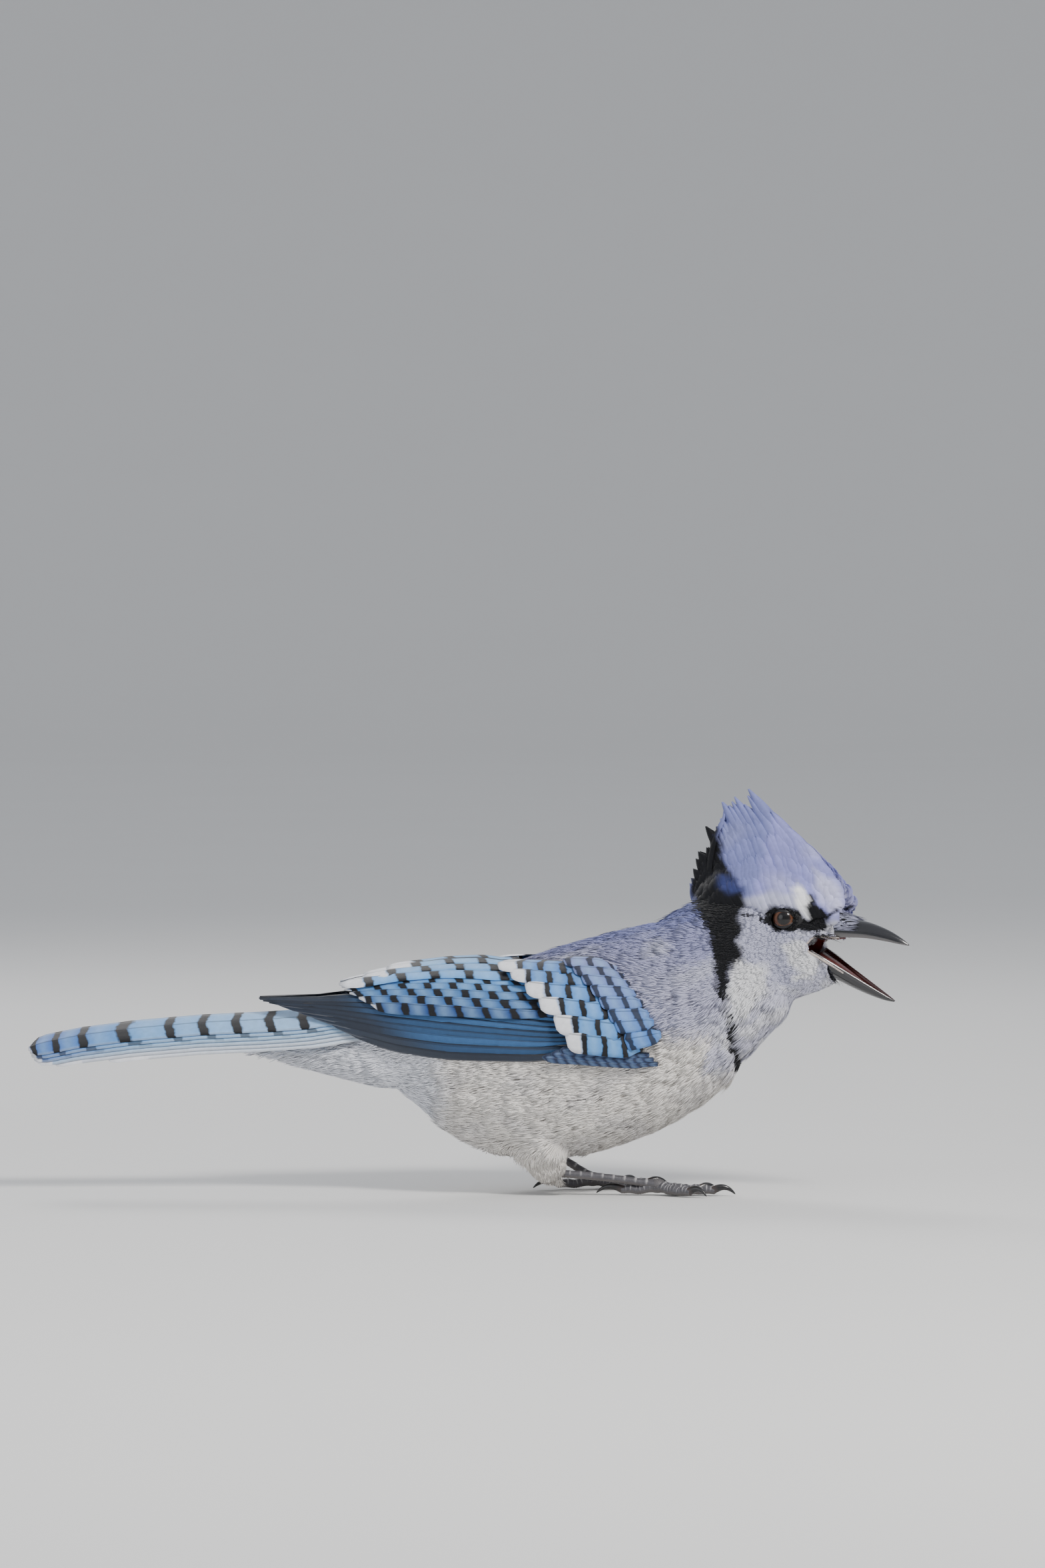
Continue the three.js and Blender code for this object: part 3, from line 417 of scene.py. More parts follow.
def vaneMaterial():  # wing and tail feathers: blue web, black bars, white tip, dark shaft and fine barbs
    material, tree, shader = newMaterial("barredVane", {"Roughness": 0.5, "Sheen Weight": 0.12,
                                                        "Specular IOR Level": 0.35})
    vane, mark, webs = (split(tree, attribute(tree, n)) for n in ("vane", "mark", "webs"))

    def do(operation, a, b=0.0, c=0.0):
        return calc(tree, operation, a, b, c)

    fromTip = do("MULTIPLY", vane[0], vaneScale["length"])
    across = do("MULTIPLY_ADD", vane[1], 2.0, -1.0)
    fromShaft = do("ABSOLUTE", across)
    waver = do("MULTIPLY", do("SUBTRACT", noiseOf(tree, 420, 2.0), 0.5), 1.6)
    slant = do("MULTIPLY_ADD", fromShaft, -1.3, do("ADD", fromTip, waver))
    spacing = do("MAXIMUM", do("MULTIPLY", mark[0], vaneScale["mark"]), 1.0)
    white = do("MULTIPLY", mark[2], vaneScale["mark"])
    phase = do("FRACT", do("DIVIDE", do("SUBTRACT", slant, white), spacing))
    bar = do("MULTIPLY", ramped(tree, do("ABSOLUTE", do("SUBTRACT", phase, 0.16)), 0.17, 0.11), mark[1])
    inner = do("MULTIPLY", ramped(tree, across, do("SUBTRACT", webs[0], 0.12), webs[0]), webs[1])
    rim = do("MULTIPLY", ramped(tree, fromShaft, 0.80, 1.0), webs[2])
    tone = blendColours(tree, rim, attribute(tree, "tone"), attribute(tree, "edgeTone"))
    cell = do("MULTIPLY", ramped(tree, do("ABSOLUTE", do("SUBTRACT", phase, 0.62)), 0.38, 0.05, 0.3), mark[1])
    tip = ramped(tree, slant, do("ADD", white, 0.4), do("SUBTRACT", white, 0.5))
    shaft = ramped(tree, fromShaft, 0.07, 0.02, 0.55)
    for share, screen in ((cell, (170, 214, 250)), (do("MAXIMUM", bar, inner), (12, 13, 20)),
                          (do("MULTIPLY", tip, do("GREATER_THAN", white, 0.3)), (240, 242, 248)),
                          (shaft, (24, 26, 36))):
        tone = blendColours(tree, share, tone, (*paint(*screen), 1))
    barbs = do("SINE", do("MULTIPLY", do("ADD", fromTip, do("MULTIPLY", fromShaft, 4.5)), 21.0))
    fine = greyOf(tree, do("MULTIPLY_ADD", barbs, 0.06, 0.94))
    colour = blendColours(tree, 1.0, addMottle(tree, tone, 600, 0.35)[0], fine, "MULTIPLY")
    finish(tree, shader, colour, do("MULTIPLY_ADD", barbs, 0.5, shaft), 0.35, 0.00012)
    return material


skinLook = coatMaterial("shadedDownUnderCoat", 0.75, 900, 0.5, 0.0004)
coatLook = coatMaterial("softPlumage", 0.7, 500, 0.14, 0.0001)
crestLook = coatMaterial("crestFeather", 0.55, 700, 0.35, 0.0002)
vaneLook = vaneMaterial()
billLook = hornMaterial("darkBill", paint(20, 21, 26), paint(116, 112, 112), 0.22, 1.0)
clawLook = hornMaterial("darkClaw", paint(26, 25, 27), paint(92, 86, 82), 0.32, 0.4)
print("materials ready")

# skin: one surface over torso, neck, head, thighs and undertail
skin = {"nodes": ["torso", "neck", "head", "thigh_right", "thigh_left", "undertail"], "grow": 0.35,
        "voxel": 0.85, "smooth": 9, "coatDepth": 0.85}


def addSkin():
    bpy.ops.object.select_all(action="DESELECT")
    copies = []
    for name in skin["nodes"]:
        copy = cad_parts[name].copy()
        copy.data = copy.data.copy()
        copy.parent = None
        for key in list(copy.keys()):
            del copy[key]
        scene.collection.objects.link(copy)
        copy.select_set(True)
        copies.append(copy)
    body = copies[0]
    body.name = "skin"
    bpy.context.view_layer.objects.active = body
    bpy.ops.object.join()
    editAll((bpy.ops.mesh.remove_doubles, {"threshold": 0.00002}))
    for kind, settings in (("DISPLACE", {"strength": skin["grow"] * mm, "mid_level": 0}),
                           ("REMESH", {"mode": "VOXEL", "voxel_size": skin["voxel"] * mm}),
                           ("SMOOTH", {"factor": 0.5, "iterations": skin["smooth"]}),
                           ("DISPLACE", {"strength": -(skin["grow"] + skin["coatDepth"]) * mm, "mid_level": 0}),
                           ("SMOOTH", {"factor": 0.5, "iterations": 3})):
        modifier = body.modifiers.new(kind, kind)
        for key, value in settings.items():
            setattr(modifier, key, value)
        bpy.ops.object.modifier_apply(modifier=modifier.name)
    body.data.materials.clear()
    body.data.materials.append(skinLook)
    bpy.ops.object.shade_smooth()
    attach(body, "root")
    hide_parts(*skin["nodes"])
    return body


def drawnPoints(mesh):
    return readAll(mesh.vertices, "co", 3).astype(float) / mm - drawnShift


body = addSkin()
bodyPoints = drawnPoints(body.data)
lining = mouthShare(bodyPoints)[:, None]
# the skin's plumage colour is scaled to 0.85 as painted shade under the coat; the mouth lining keeps its own colour
addColour(body, "plumage", plumageAt(bodyPoints) * (1 - lining) * 0.85 + tint["mouth"] * lining)
editAll((bpy.ops.uv.smart_project, {"angle_limit": math.radians(66), "island_margin": 0.004}))
print("skin", len(body.data.polygons), "faces")

# the wings' own shape, which the coat stops at and the wing feathers lie on
wingRows = [(64, 24.2, 49, 84), (52, 27.6, 49.5, 84), (38, 29.6, 50, 81), (24, 29.8, 50.5, 77), (10, 28.2, 52, 74),
            (-6, 24.6, 53.6, 72.6), (-22, 19.2, 55.4, 70), (-36, 14, 57.2, 66.6), (-48, 9.6, 58.6, 63.6),
            (-60, 6.6, 59.6, 62.6), (-70, 5, 59.8, 62.2)]  # x, half width, middle height, top height
edgeRows = [(63, -4, 4), (58, -10, 12), (48, -13, 24), (38, -9, 40), (28, -5, 62), (18, -6, 89), (5, -10, 90),
            (-10, -14, 90), (-25, -20, 90), (-40, -26, 90), (-55, -30, 90), (-67, -20, 60)]  # x, low and high angle


def rowsAt(rows, x):
    table = np.array(sorted(rows))
    return [np.interp(x, table[:, 0], table[:, k]) for k in range(1, table.shape[1])]


def wingPoint(x, angle, lift):  # on the right side
    half, mid, top = rowsAt(wingRows, x)
    a = np.radians(angle)
    return np.stack([x, -(half + lift) * np.cos(a), mid + (top - mid + lift) * np.sin(a)], -1)


# coat: tufts of slender solid blades that lie along the body
coat = {"tufts": 21000, "blades": 7, "perPiece": 2700, "length": 6.4, "shorter": 4.3, "half": 0.25, "thinner": 0.10,
        "spread": 0.95, "closer": 0.45, "sunk": 0.15, "fan": 0.15, "stray": 0.035, "bakeJitter": 0.003}


def underWing(p):
    half, mid, top = rowsAt(wingRows, p[:, 0])
    low, high = rowsAt(edgeRows, p[:, 0])
    angle = np.degrees(np.arctan2((p[:, 2] - mid) / (top - mid), np.abs(p[:, 1]) / half))
    return (p[:, 0] < 58) & (p[:, 0] > -66) & (angle > low + 9) & (angle < high - 7) & (np.abs(p[:, 1]) > 2)


def coatLie(p, normal):  # the way that the coat lies at each point
    u, v, w = headPlace(p)
    x, y, z = p.T
    lie = np.stack([np.full(len(x), -1.0), np.zeros(len(x)), -0.16 + 0.3 * ease(z, 60, 75)], 1)
    lie = mixed(lie, np.array([-0.85, 0, -0.5]), ease(x, 50, 78) * (1 - ease(z, 52, 70)))  # breast
    lie = mixed(lie, np.array([-0.62, 0.12, -0.78]), ease(x, 70, 84) * ease(z, 44, 60))  # neck
    up = 0.75 * ease(w, 3, 9) - 0.30 * (1 - ease(w, -10, 0))
    headLie = -headAhead[None, :] * (1 - 0.25 * ease(w, 3, 9))[:, None] + np.array([0, 0, 1.0]) * up[:, None]
    lie = mixed(lie, headLie, ease(u, -26, -12) * ease(w, -24, -12))
    lie = mixed(lie, np.array([0.15, 0, -1.0]), ((x < 40) & (x > 2)) * (1 - ease(z, 12, 20)))  # thighs
    swirl = ripple(p, 5.0, 2.0)[:, None]
    lie = lie - normal * np.sum(lie * normal, 1, keepdims=True)
    lie /= np.linalg.norm(lie, axis=1, keepdims=True) + 1e-9
    return lie + 0.16 * swirl * np.cross(normal, lie)


def fromEye(u, w):
    return np.hypot(u - headSizes["eye"][0], w - headSizes["eye"][2])


def rootsOnSkin(mesh, count):
    mesh.calc_loop_triangles()
    tris, loops = (readAll(mesh.loop_triangles, field, 3, np.int32) for field in ("vertices", "loops"))
    uv, normals = readAll(mesh.uv_layers[0].data, "uv", 2), readAll(mesh.vertices, "normal", 3)
    corner = bodyPoints[tris]
    middle = corner.mean(1)
    area = np.linalg.norm(np.cross(corner[:, 1] - corner[:, 0], corner[:, 2] - corner[:, 0]), axis=1)
    u, v, w = headPlace(middle)
    density = 1 + 2.2 * ease(u, -22, -8) * ease(w, -26, -16) + 1.5 * (middle[:, 2] < 16)
    weight = area * density * (mouthShare(middle) < 0.5) * ~underWing(middle) * (fromEye(u, w) >= 3.6)
    pick = rng.choice(len(tris), count, p=weight / weight.sum())
    a, b = rng.random((2, count, 1))
    flip = a + b > 1
    a, b = np.where(flip, 1 - a, a), np.where(flip, 1 - b, b)
    share = np.concatenate([1 - a - b, a, b], 1)[:, :, None]
    normal = (normals[tris[pick]] * share).sum(1)
    normal /= np.linalg.norm(normal, axis=1, keepdims=True) + 1e-9
    return (corner[pick] * share).sum(1), normal, (uv[loops[pick]] * share).sum(1)


bladeFaces = np.array([(0, 2, 1), (0, 1, 4), (0, 4, 3), (1, 2, 5), (1, 5, 4), (2, 0, 3), (2, 3, 5), (3, 4, 6),
                       (4, 5, 6), (5, 3, 6)])
bladeCorners = 7


def facesOf(blades):  # the faces of that many blades
    return (bladeFaces[None] + (np.arange(blades) * bladeCorners)[:, None, None]).reshape(-1, 3)


def bladePoints(start, away, long, up, sideways, depth, half):  # two rings of three and a tip
    rings = []
    for along, rise, width in ((0, 0, 0.85), (0.5, 0.95, 1.0)):
        middle, edge = start + away * long * along + up * depth * rise, sideways * half * width
        rings += [middle - edge, middle + edge, middle + up * (half * 0.24 * width)]
    return np.stack(rings + [start + away * long + up * depth * 0.72], -2)


def addCoat():
    root, normal, uv = rootsOnSkin(body.data, coat["tufts"])
    count, blades = len(root), coat["blades"]
    u, v, w = headPlace(root)
    face = ease(u, -14, 6) * ease(w, -26, -16)
    small = np.clip(face + ease(u, -24, -10) * ease(w, -26, -14) * 0.35 + (root[:, 2] < 14) * 0.6, 0, 1)
    length = (coat["length"] - coat["shorter"] * small) * (0.8 + 0.4 * rng.random(count))
    length *= 1 - 0.35 * ease(u, 14, 24)
    length *= 1 - 0.45 * (1 - ease(fromEye(u, w), 3.5, 8)) * (np.abs(v) > 4)
    lie = coatLie(root, normal)
    lie /= np.linalg.norm(lie, axis=1, keepdims=True)
    shade = plumageAt(root + lie * length[:, None] * 0.35) * (0.97 + 0.06 * rng.random((count, 1)))
    across = np.cross(normal, lie)
    fan = np.linspace(-1, 1, blades)[None, :, None] + 0.25 * rng.standard_normal((count, blades, 1))
    up, sideways, small = normal[:, None, :], across[:, None, :], small[:, None, None]
    start = root[:, None, :] + sideways * fan * (coat["spread"] - coat["closer"] * small) * 0.55 - up * coat["sunk"]
    away = lie[:, None, :] + sideways * fan * coat["fan"] + coat["stray"] * rng.standard_normal((count, blades, 3))
    long = length[:, None, None] * (0.86 + 0.28 * rng.random((count, blades, 1))) * (1 - 0.10 * np.abs(fan))
    depth = skin["coatDepth"] * (0.85 + 0.35 * rng.random((count, blades, 1))) * (1 - 0.55 * small)
    points = bladePoints(start, away, long, up, sideways, depth, coat["half"] - coat["thinner"] * small)
    step = coat["perPiece"]
    order = np.argsort(root[:, 0])  # pieces are lengths of the bird, from tail to bill
    for index, first in enumerate(range(0, count, step)):
        chosen = order[first:first + step]
        part = points[chosen].reshape(-1, 3)
        faces = facingOut(part, facesOf(len(chosen) * blades), len(bladeFaces))
        piece = meshPiece("coat_%02d" % (index + 1), part, faces, coatLook)
        addColour(piece, "plumage", np.repeat(shade[chosen], blades * bladeCorners, 0))
        # each blade's map is a small patch round its root's place on the skin, so that no face is a point
        jitter = coat["bakeJitter"] * (rng.random((len(chosen), blades * bladeCorners, 2)) - 0.5)
        addBakeMap(piece, faces, jitter + uv[chosen][:, None, :])
    print("coat", count, "tufts,", count * blades * len(bladeFaces), "triangles")


addCoat()

# shapes lofted through rings
def smoothRows(rows, count):  # even steps along smooth curves through the rows
    rows = np.array(rows, float)
    knots = np.linspace(0, len(rows) - 1, count)
    index = np.minimum(knots.astype(int), len(rows) - 2)
    f = (knots - index)[:, None]
    padded = np.concatenate([2 * rows[:1] - rows[1:2], rows, 2 * rows[-1:] - rows[-2:-1]])
    a, b, c, d = (padded[index + k] for k in range(4))
    return b + 0.5 * f * (c - a + f * (2 * a - 5 * b + 4 * c - d + f * (3 * (b - c) + d - a)))


def loft(rings):  # rings of the same number of points, closed at both ends
    steps, around, _ = rings.shape
    points = np.concatenate([rings.reshape(-1, 3), rings[0].mean(0)[None], rings[-1].mean(0)[None]])
    faces = []
    for i in range(steps - 1):
        for j in range(around):
            k = (j + 1) % around
            a, b, c, d = i * around + j, i * around + k, (i + 1) * around + k, (i + 1) * around + j
            faces += [(a, b, c), (a, c, d)]
    last, first, final = (steps - 1) * around, steps * around, steps * around + 1
    for j in range(around):
        k = (j + 1) % around
        faces += [(k, j, first), (last + j, last + k, final)]
    return points, facingOut(points, np.array(faces))


def tube(path, radii, sides=14, flat=1.0, upward=(0, 0, 1)):
    path, radii = np.asarray(path, float), np.asarray(radii, float)
    forward = unit(np.gradient(path, axis=0))
    sideways = unit(np.cross(forward, np.array(upward, float)))
    up = np.cross(sideways, forward)
    angle = np.linspace(0, 2 * np.pi, sides, endpoint=False)
    ring = sideways[:, None, :] * np.cos(angle)[None, :, None] + up[:, None, :] * (flat * np.sin(angle))[None, :, None]
    return loft(path[:, None, :] + ring * radii[:, None, None])


# feathers: closed, cambered vanes with a raised shaft
def vane(middle, across, up, widths, thick=0.32, camber=0.10, cells=8):
    steps = len(middle)
    share = np.linspace(-1, 1, cells + 1)
    half = (np.asarray(widths) / 2)[:, None, None]
    flat = middle[:, None, :] + across[:, None, :] * half * share[None, :, None]
    arch = up[:, None, :] * (half * camber * (1 - share[None, :, None] ** 2) * 2 - half * camber)
    ridge = up[:, None, :] * (0.22 * np.exp(-(share / 0.09) ** 2))[None, :, None]
    edge = np.clip(1.02 - np.abs(share) ** 4, 0.25, 1)[None, :, None]
    top = flat + arch + ridge + up[:, None, :] * thick / 2 * edge
    under = flat + arch - up[:, None, :] * thick / 2 * edge
    points = np.concatenate([top.reshape(-1, 3), under.reshape(-1, 3)])
    wide, base = cells + 1, steps * (cells + 1)
    faces = []
    for i in range(steps - 1):
        for j in range(cells):
            a, b, c, d = i * wide + j, i * wide + j + 1, (i + 1) * wide + j + 1, (i + 1) * wide + j
            faces += [(a, d, c, b), (base + a, base + b, base + c, base + d)]
        for j, turn in ((0, 1), (cells, 0)):
            a, d = i * wide + j, (i + 1) * wide + j
            faces.append((a, base + a, base + d, d) if turn else (a, d, base + d, base + a))
    for j in range(cells):
        a, b = (steps - 1) * wide + j, (steps - 1) * wide + j + 1
        faces += [(j, j + 1, base + j + 1, base + j), (a, base + a, base + b, b)]
    faces = np.array(faces)
    turned = np.dot(np.cross(across[5], middle[6] - middle[4]), up[5]) > 0
    return points, faces[:, ::-1] if turned else faces, np.tile(share, steps * 2)


def vaneColumn(fromTip, share, own):  # what the material reads as "vane"
    return np.stack([fromTip / vaneScale["length"], share * 0.5 + 0.5, np.full(len(share), own)], 1)


def alongVane(values, cells=8):  # one value for each step, given to all the vane's points
    return np.tile(np.repeat(values, cells + 1), 2)


class vaneSet:  # feathers gathered into one piece
    def __init__(self):
        self.points, self.faces, self.columns, self.count = [], [], {}, 0

    def add(self, points, faces, **columns):
        self.points.append(points)
        self.faces.append(faces + self.count)
        self.count += len(points)
        for key, value in columns.items():
            value = np.asarray(value, float)
            self.columns.setdefault(key, []).append(value if value.ndim == 2 else np.tile(value, (len(points), 1)))

    def build(self, name, slotName, material, mirror=False):
        points, faces = np.concatenate(self.points), np.concatenate(self.faces)
        if mirror:
            points, faces = points * np.array([1, -1, 1]), faces[:, ::-1]
        piece = meshPiece(name, points, faces, material)
        for key, values in self.columns.items():
            addColour(piece, key, np.concatenate(values))
        return piece


# wings
# the dull blue here is painted shade, for the alula in the shade at the bend of the wing
blue = {name: paint(*screen) for name, screen in {
    "cobalt": (44, 104, 196), "deep": (26, 60, 128), "cobaltPale": (70, 132, 214), "azure": (86, 156, 226),
    "sky": (138, 190, 240), "primary": (60, 106, 158), "primaryLine": (92, 156, 220), "slate": (44, 54, 70),
    "greyEdge": (120, 120, 126), "shadedDull": (58, 76, 118), "small": (128, 138, 190), "white": (238, 240, 246)}.items()}
# each tier: name, feathers, root and tip lines as x and angle, arch, lift, bar spacing and strength, white tip,
# first and last colour, edge colour, where the black inner web starts, how black, edge's share, width
tierKeys = ("name", "count", "roots", "tips", "arch", "lift", "bars", "barShare", "white", "tone", "toTone", "edge",
            "webs", "narrow")
wingTiers = [dict(zip(tierKeys, row)) for row in (
    ("primaries", 9, [(38, -8), (30, 16)], [(-36, -44), (-66, 52)], 9, (-0.6, 0, -0.6), 6, 0.0, 0,
     "primary", "slate", "primaryLine", (0.15, 0.75, 0.9), 0.8),
    ("secondaries", 5, [(30, 14), (24, 46)], [(-28, 14), (-40, 60)], 3, (-0.6, 0.5, 0.9), 8.4, 1.0, 1.2,
     "deep", "azure", "azure", (0.35, 0.95, 0.2), 0.9),
    ("tertials", 3, [(26, 44), (14, 76)], [(-44, 56), (-22, 80)], 0, (-0.6, 0.9, 1.7), 10.4, 1.0, 8.5,
     "azure", "sky", "azure", (0.70, 0.9, 0.1), 1.0),
    ("greatCoverts", 6, [(57, -6), (35, 50)], [(33, -3), (7, 66)], 0, (-0.6, 0.8, 2.3), 6.6, 1.0, 5.4,
     "azure", "cobaltPale", "cobalt", (0.62, 0.95, 0.2), 1.0),
    ("smallCoverts", 8, [(61, 2), (46, 46)], [(50, -2), (29, 54)], 0, (-0.8, 0.9, 2.1), 7, 0.9, 0,
     "cobaltPale", "small", "small", (0.6, 0.9, 0.0), 1.0),
    # the alula's dull blue is painted shade
    ("alula", 3, [(60, -13), (56, -6)], [(22, -13), (30, -5)], 0, (-0.7, 0.6, 1.5), 3.4, 0.5, 0,
     "shadedDull", "shadedDull", "shadedDull", (0.5, 0.6, 0.0), 0.9))]
wingPlan = {"lapStep": 0.75, "lapOver": 1.55, "least": 2.6, "steps": 22, "seed": 5, "heart": np.array([10, 0, 52])}


def addWing(name, mirror):
    made = vaneSet()
    draw = np.random.default_rng(wingPlan["seed"])
    t = np.linspace(0, 1, wingPlan["steps"])
    for tier in wingTiers:
        (rx0, ra0), (rx1, ra1) = tier["roots"]
        (tx0, ta0), (tx1, ta1) = tier["tips"]
        low, near, far = tier["lift"]

        def at(q, along, up):
            tip = tx0 + (tx1 - tx0) * q - tier["arch"] * np.sin(np.pi * q)
            x = (rx0 + (rx1 - rx0) * q) * (1 - along) + tip * along
            angle = (ra0 + (ra1 - ra0) * q) * (1 - along) + (ta0 + (ta1 - ta0) * q) * along
            return wingPoint(x, angle, up)

        for i in range(tier["count"]):
            q = (i + 0.5) / tier["count"]
            own = draw.uniform(-0.02, 0.02)
            lift = low + (near + (far - near) * t - low) * ease(t, 0, 0.3)
            lift = lift + wingPlan["lapStep"] * ease(t, 0.05, 0.5) * 0.5
            middle = at(q + own, t, lift)
            spread = wingPlan["lapOver"] / tier["count"] / 2
            high, lower = at(q + own + spread, t, lift), at(q + own - spread, t, lift)
            forward = unit(np.gradient(middle, axis=0))
            across = unit(high - lower)
            up = unit(np.cross(across, forward))
            up *= np.where((up * (middle - wingPlan["heart"])).sum(1, keepdims=True) < 0, -1, 1)
            across = unit(np.cross(forward, up))
            across *= np.where((across * (high - lower)).sum(1, keepdims=True) < 0, -1, 1)
            across = unit(across - up * 0.16)  # the upper edge is tucked under the next feather
            width = np.maximum(np.linalg.norm(high - lower, axis=1) * tier["narrow"], wingPlan["least"])
            ends = np.clip(1 - ((t - 0.80) / 0.20).clip(0, 1) ** 2.6, 0.02, 1) ** 0.5
            width = width * ends * (0.55 + 0.45 * ease(t, 0, 0.25))
            points, faces, share = vane(middle, across, up, width, thick=0.34, camber=0.12)
            length = np.cumsum(np.r_[0, np.linalg.norm(np.diff(middle, axis=0), axis=1)])
            fromTip = alongVane(length[-1] - length)
            tone = (blue[tier["tone"]] * (1 - q) + blue[tier["toTone"]] * q) * draw.uniform(0.88, 1.1)
            edge = blue[tier["edge"]]
            if tier["name"] == "primaries":
                tip = ease(46 - fromTip, 0, 22)[:, None]
                web = blue["slate"] if i < 1 else blue["primary"] * draw.uniform(0.6, 1.05)
                tone = web * (1 - tip) + blue["slate"] * draw.uniform(0.7, 1.2) * tip
                edge = edge * draw.uniform(0.5, 1.1) if 1 < i < 8 else blue["greyEdge"]
                edge = edge * (1 - tip) + blue["greyEdge"] * tip
            made.add(points, faces, vane=vaneColumn(fromTip, share, draw.random()),
                     mark=[tier["bars"] * draw.uniform(0.94, 1.06) / vaneScale["mark"], tier["barShare"],
                           tier["white"] * draw.uniform(0.85, 1.15) / vaneScale["mark"]],
                     webs=tier["webs"], tone=tone, edgeTone=edge)
    piece = made.build(name.replace("wing", "feathers"), "wing_feathers", vaneLook, mirror)
    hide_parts(name)
    return piece


for wingName, flip in (("wing_right", False), ("wing_left", True)):
    wing = addWing(wingName, flip)
    print(wingName, len(wing.data.polygons), "faces")

# tail: six pairs, stepped down from the middle one
tailRidge = [(-140, 48.2), (-134, 50), (-122, 52.4), (-105, 54.6), (-84, 56.4), (-63, 57.4), (-46, 58.6), (-30, 59.6)]
tail = {"tips": [-138.5, -137.9, -137.4, -136.6, -131.6, -114.5], "root": -32, "slope": math.radians(30), "half": 5.75,
        "stepAcross": 0.35, "stepDown": 1.2, "spread": 0.34, "steps": 40, "bars": 10.5,
        "barShare": [1, 0.75, 0.35, 0.1, 0, 0], "white": [0.4, 2, 4, 8, 14, 19]}
tailBlue = [paint(*screen) for screen in ((92, 160, 226), (120, 180, 236), (150, 198, 240), (186, 214, 242),
                                          (224, 232, 244), (236, 239, 246))]  # from the middle pair outwards


def addTail():
    made = vaneSet()
    ridge = np.array(tailRidge)
    t = np.linspace(0, 1, tail["steps"])
    for pair in range(len(tail["tips"])):
        for handed in (-1, 1):
            x = tail["root"] + (tail["tips"][pair] - tail["root"]) * t
            slope, spread = tail["slope"], tail["spread"] * pair * t
            height = np.interp(x, ridge[:, 0], ridge[:, 1]) - tail["stepDown"] * pair - tail["half"] * math.sin(slope)
            y = handed * (0.2 + tail["stepAcross"] * pair + tail["half"] * math.cos(slope) + spread)
            middle = np.stack([x, y, height + 0.05 * handed * (pair == 0)], 1)
            across = np.tile([0, handed * math.cos(slope), -math.sin(slope)], (len(t), 1))
            up = np.tile([0, handed * math.sin(slope), math.cos(slope)], (len(t), 1))
            ends = np.clip(1 - ((t - 0.94) / 0.06).clip(0, 1) ** 2.2, 0.02, 1) ** 0.5
            width = tail["half"] * 2 * (0.6 + 0.4 * ease(t, 0, 0.2)) * ends
            points, faces, share = vane(middle, across, up, width, thick=0.4, camber=0.06)
            run = x - tail["tips"][pair]
            fromTip = alongVane(run * (1.55 - 0.55 * ease(run, 0, 45)))  # bars lie closer near the tip
            base = ease(points[:, 0], -120, -50)[:, None]
            tone = tailBlue[pair] * (1 - 0.5 * base) + paint(196, 222, 246) * 0.5 * base
            deep = ease(-points[:, 0], 96, 138)[:, None] * (0.75 if pair < 3 else 0.15)
            tone = tone * (1 - deep) + paint(34, 74, 170) * deep
            made.add(points, faces, vane=vaneColumn(fromTip, share, pair / len(tail["tips"])),
                     mark=[tail["bars"] / vaneScale["mark"], tail["barShare"][pair],
                           tail["white"][pair] / vaneScale["mark"]],
                     webs=[0.96, 0.3, 0.5], tone=tone,
                     edgeTone=tailBlue[pair] * 0.3 + blue["white"] * 0.7)
    piece = made.build("tail_feathers", "tail_feathers", vaneLook)
    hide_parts("tail")
    print("tail", len(piece.data.polygons), "faces")


addTail()

# crest: tapering feathers over the crown, splayed at the back
# root and tip of each feather along the crest, forward and up in the head
crestRows = [(24, 3, 21.5, 12), (22, 6, 17, 18.5), (20, 8, 11.5, 24.5), (17, 9, 5.5, 29.8), (14, 10, 0.5, 34.6),
             (11, 11, -7.3, 41.4), (5, 12, -12, 38.9), (-1, 12, -16.2, 37.2), (-5, 12, -16.8, 32),
             (-9, 11, -21.8, 29.4), (-14, 8, -24.2, 21.4), (-17, 5, -25.4, 16), (-19, 1, -25.8, 10)]
# forward, top, bottom and half width of the head
headRows = [(-24.5, 6, -10, 4.5), (-21, 12.5, -17, 9.5), (-15, 16.5, -22.5, 12.6), (-8, 18, -26, 13.8),
            (0, 18.2, -26.6, 13.9), (7, 17, -25, 12.9), (13, 14.6, -23.4, 11.2), (18.5, 11, -21.6, 9.1),
            (23, 6.6, -19.4, 7), (26, 2.6, -15, 5)]


def headFlank(u, w):  # half the head's width there
    top, bottom, half = rowsAt(headRows, u)
    return half * np.sqrt(np.clip(1 - ((w - (top + bottom) / 2) / ((top - bottom) / 2)) ** 2, 0, 1))


crest = {"between": 3, "steps": 12, "flank": 8.4,
         # each layer: where its feathers start and end along the row, width, roundness of the tip, how far out
         "layers": [(0.40, 1.0, 4.2, 1.6, -0.1), (0.26, 0.80, 5.2, 2.8, 0.3), (0.08, 0.58, 5.4, 3.6, 0.7),
                    (-0.10, 0.36, 5.2, 3.8, 0.9), (-0.34, 0.12, 4.6, 3.6, 0.7)]}


# front, back, height and half width
crestCore = [(24, -19, 2, 8.2), (20, -20, 8, 7), (12, -20, 17, 4.8), (4, -18, 26, 2.2), (-3, -15, 32, 0.8)]


def addCrestCore():
    front, back, up, half = smoothRows(crestCore, 30).T[..., None]
    a = np.linspace(0, 2 * np.pi, 32, endpoint=False)
    points, faces = loft(headPoints((front + back) / 2 + (front - back) / 2 * 0.94 * np.cos(a),
                                    half * 0.9 * np.sin(a), up + 0 * a))
    core = meshPiece("crest_core", points, faces, crestLook)
    # the core's plumage colour is scaled to 0.85 as painted shade under the crest feathers
    addColour(core, "plumage", plumageAt(points) * 0.85)
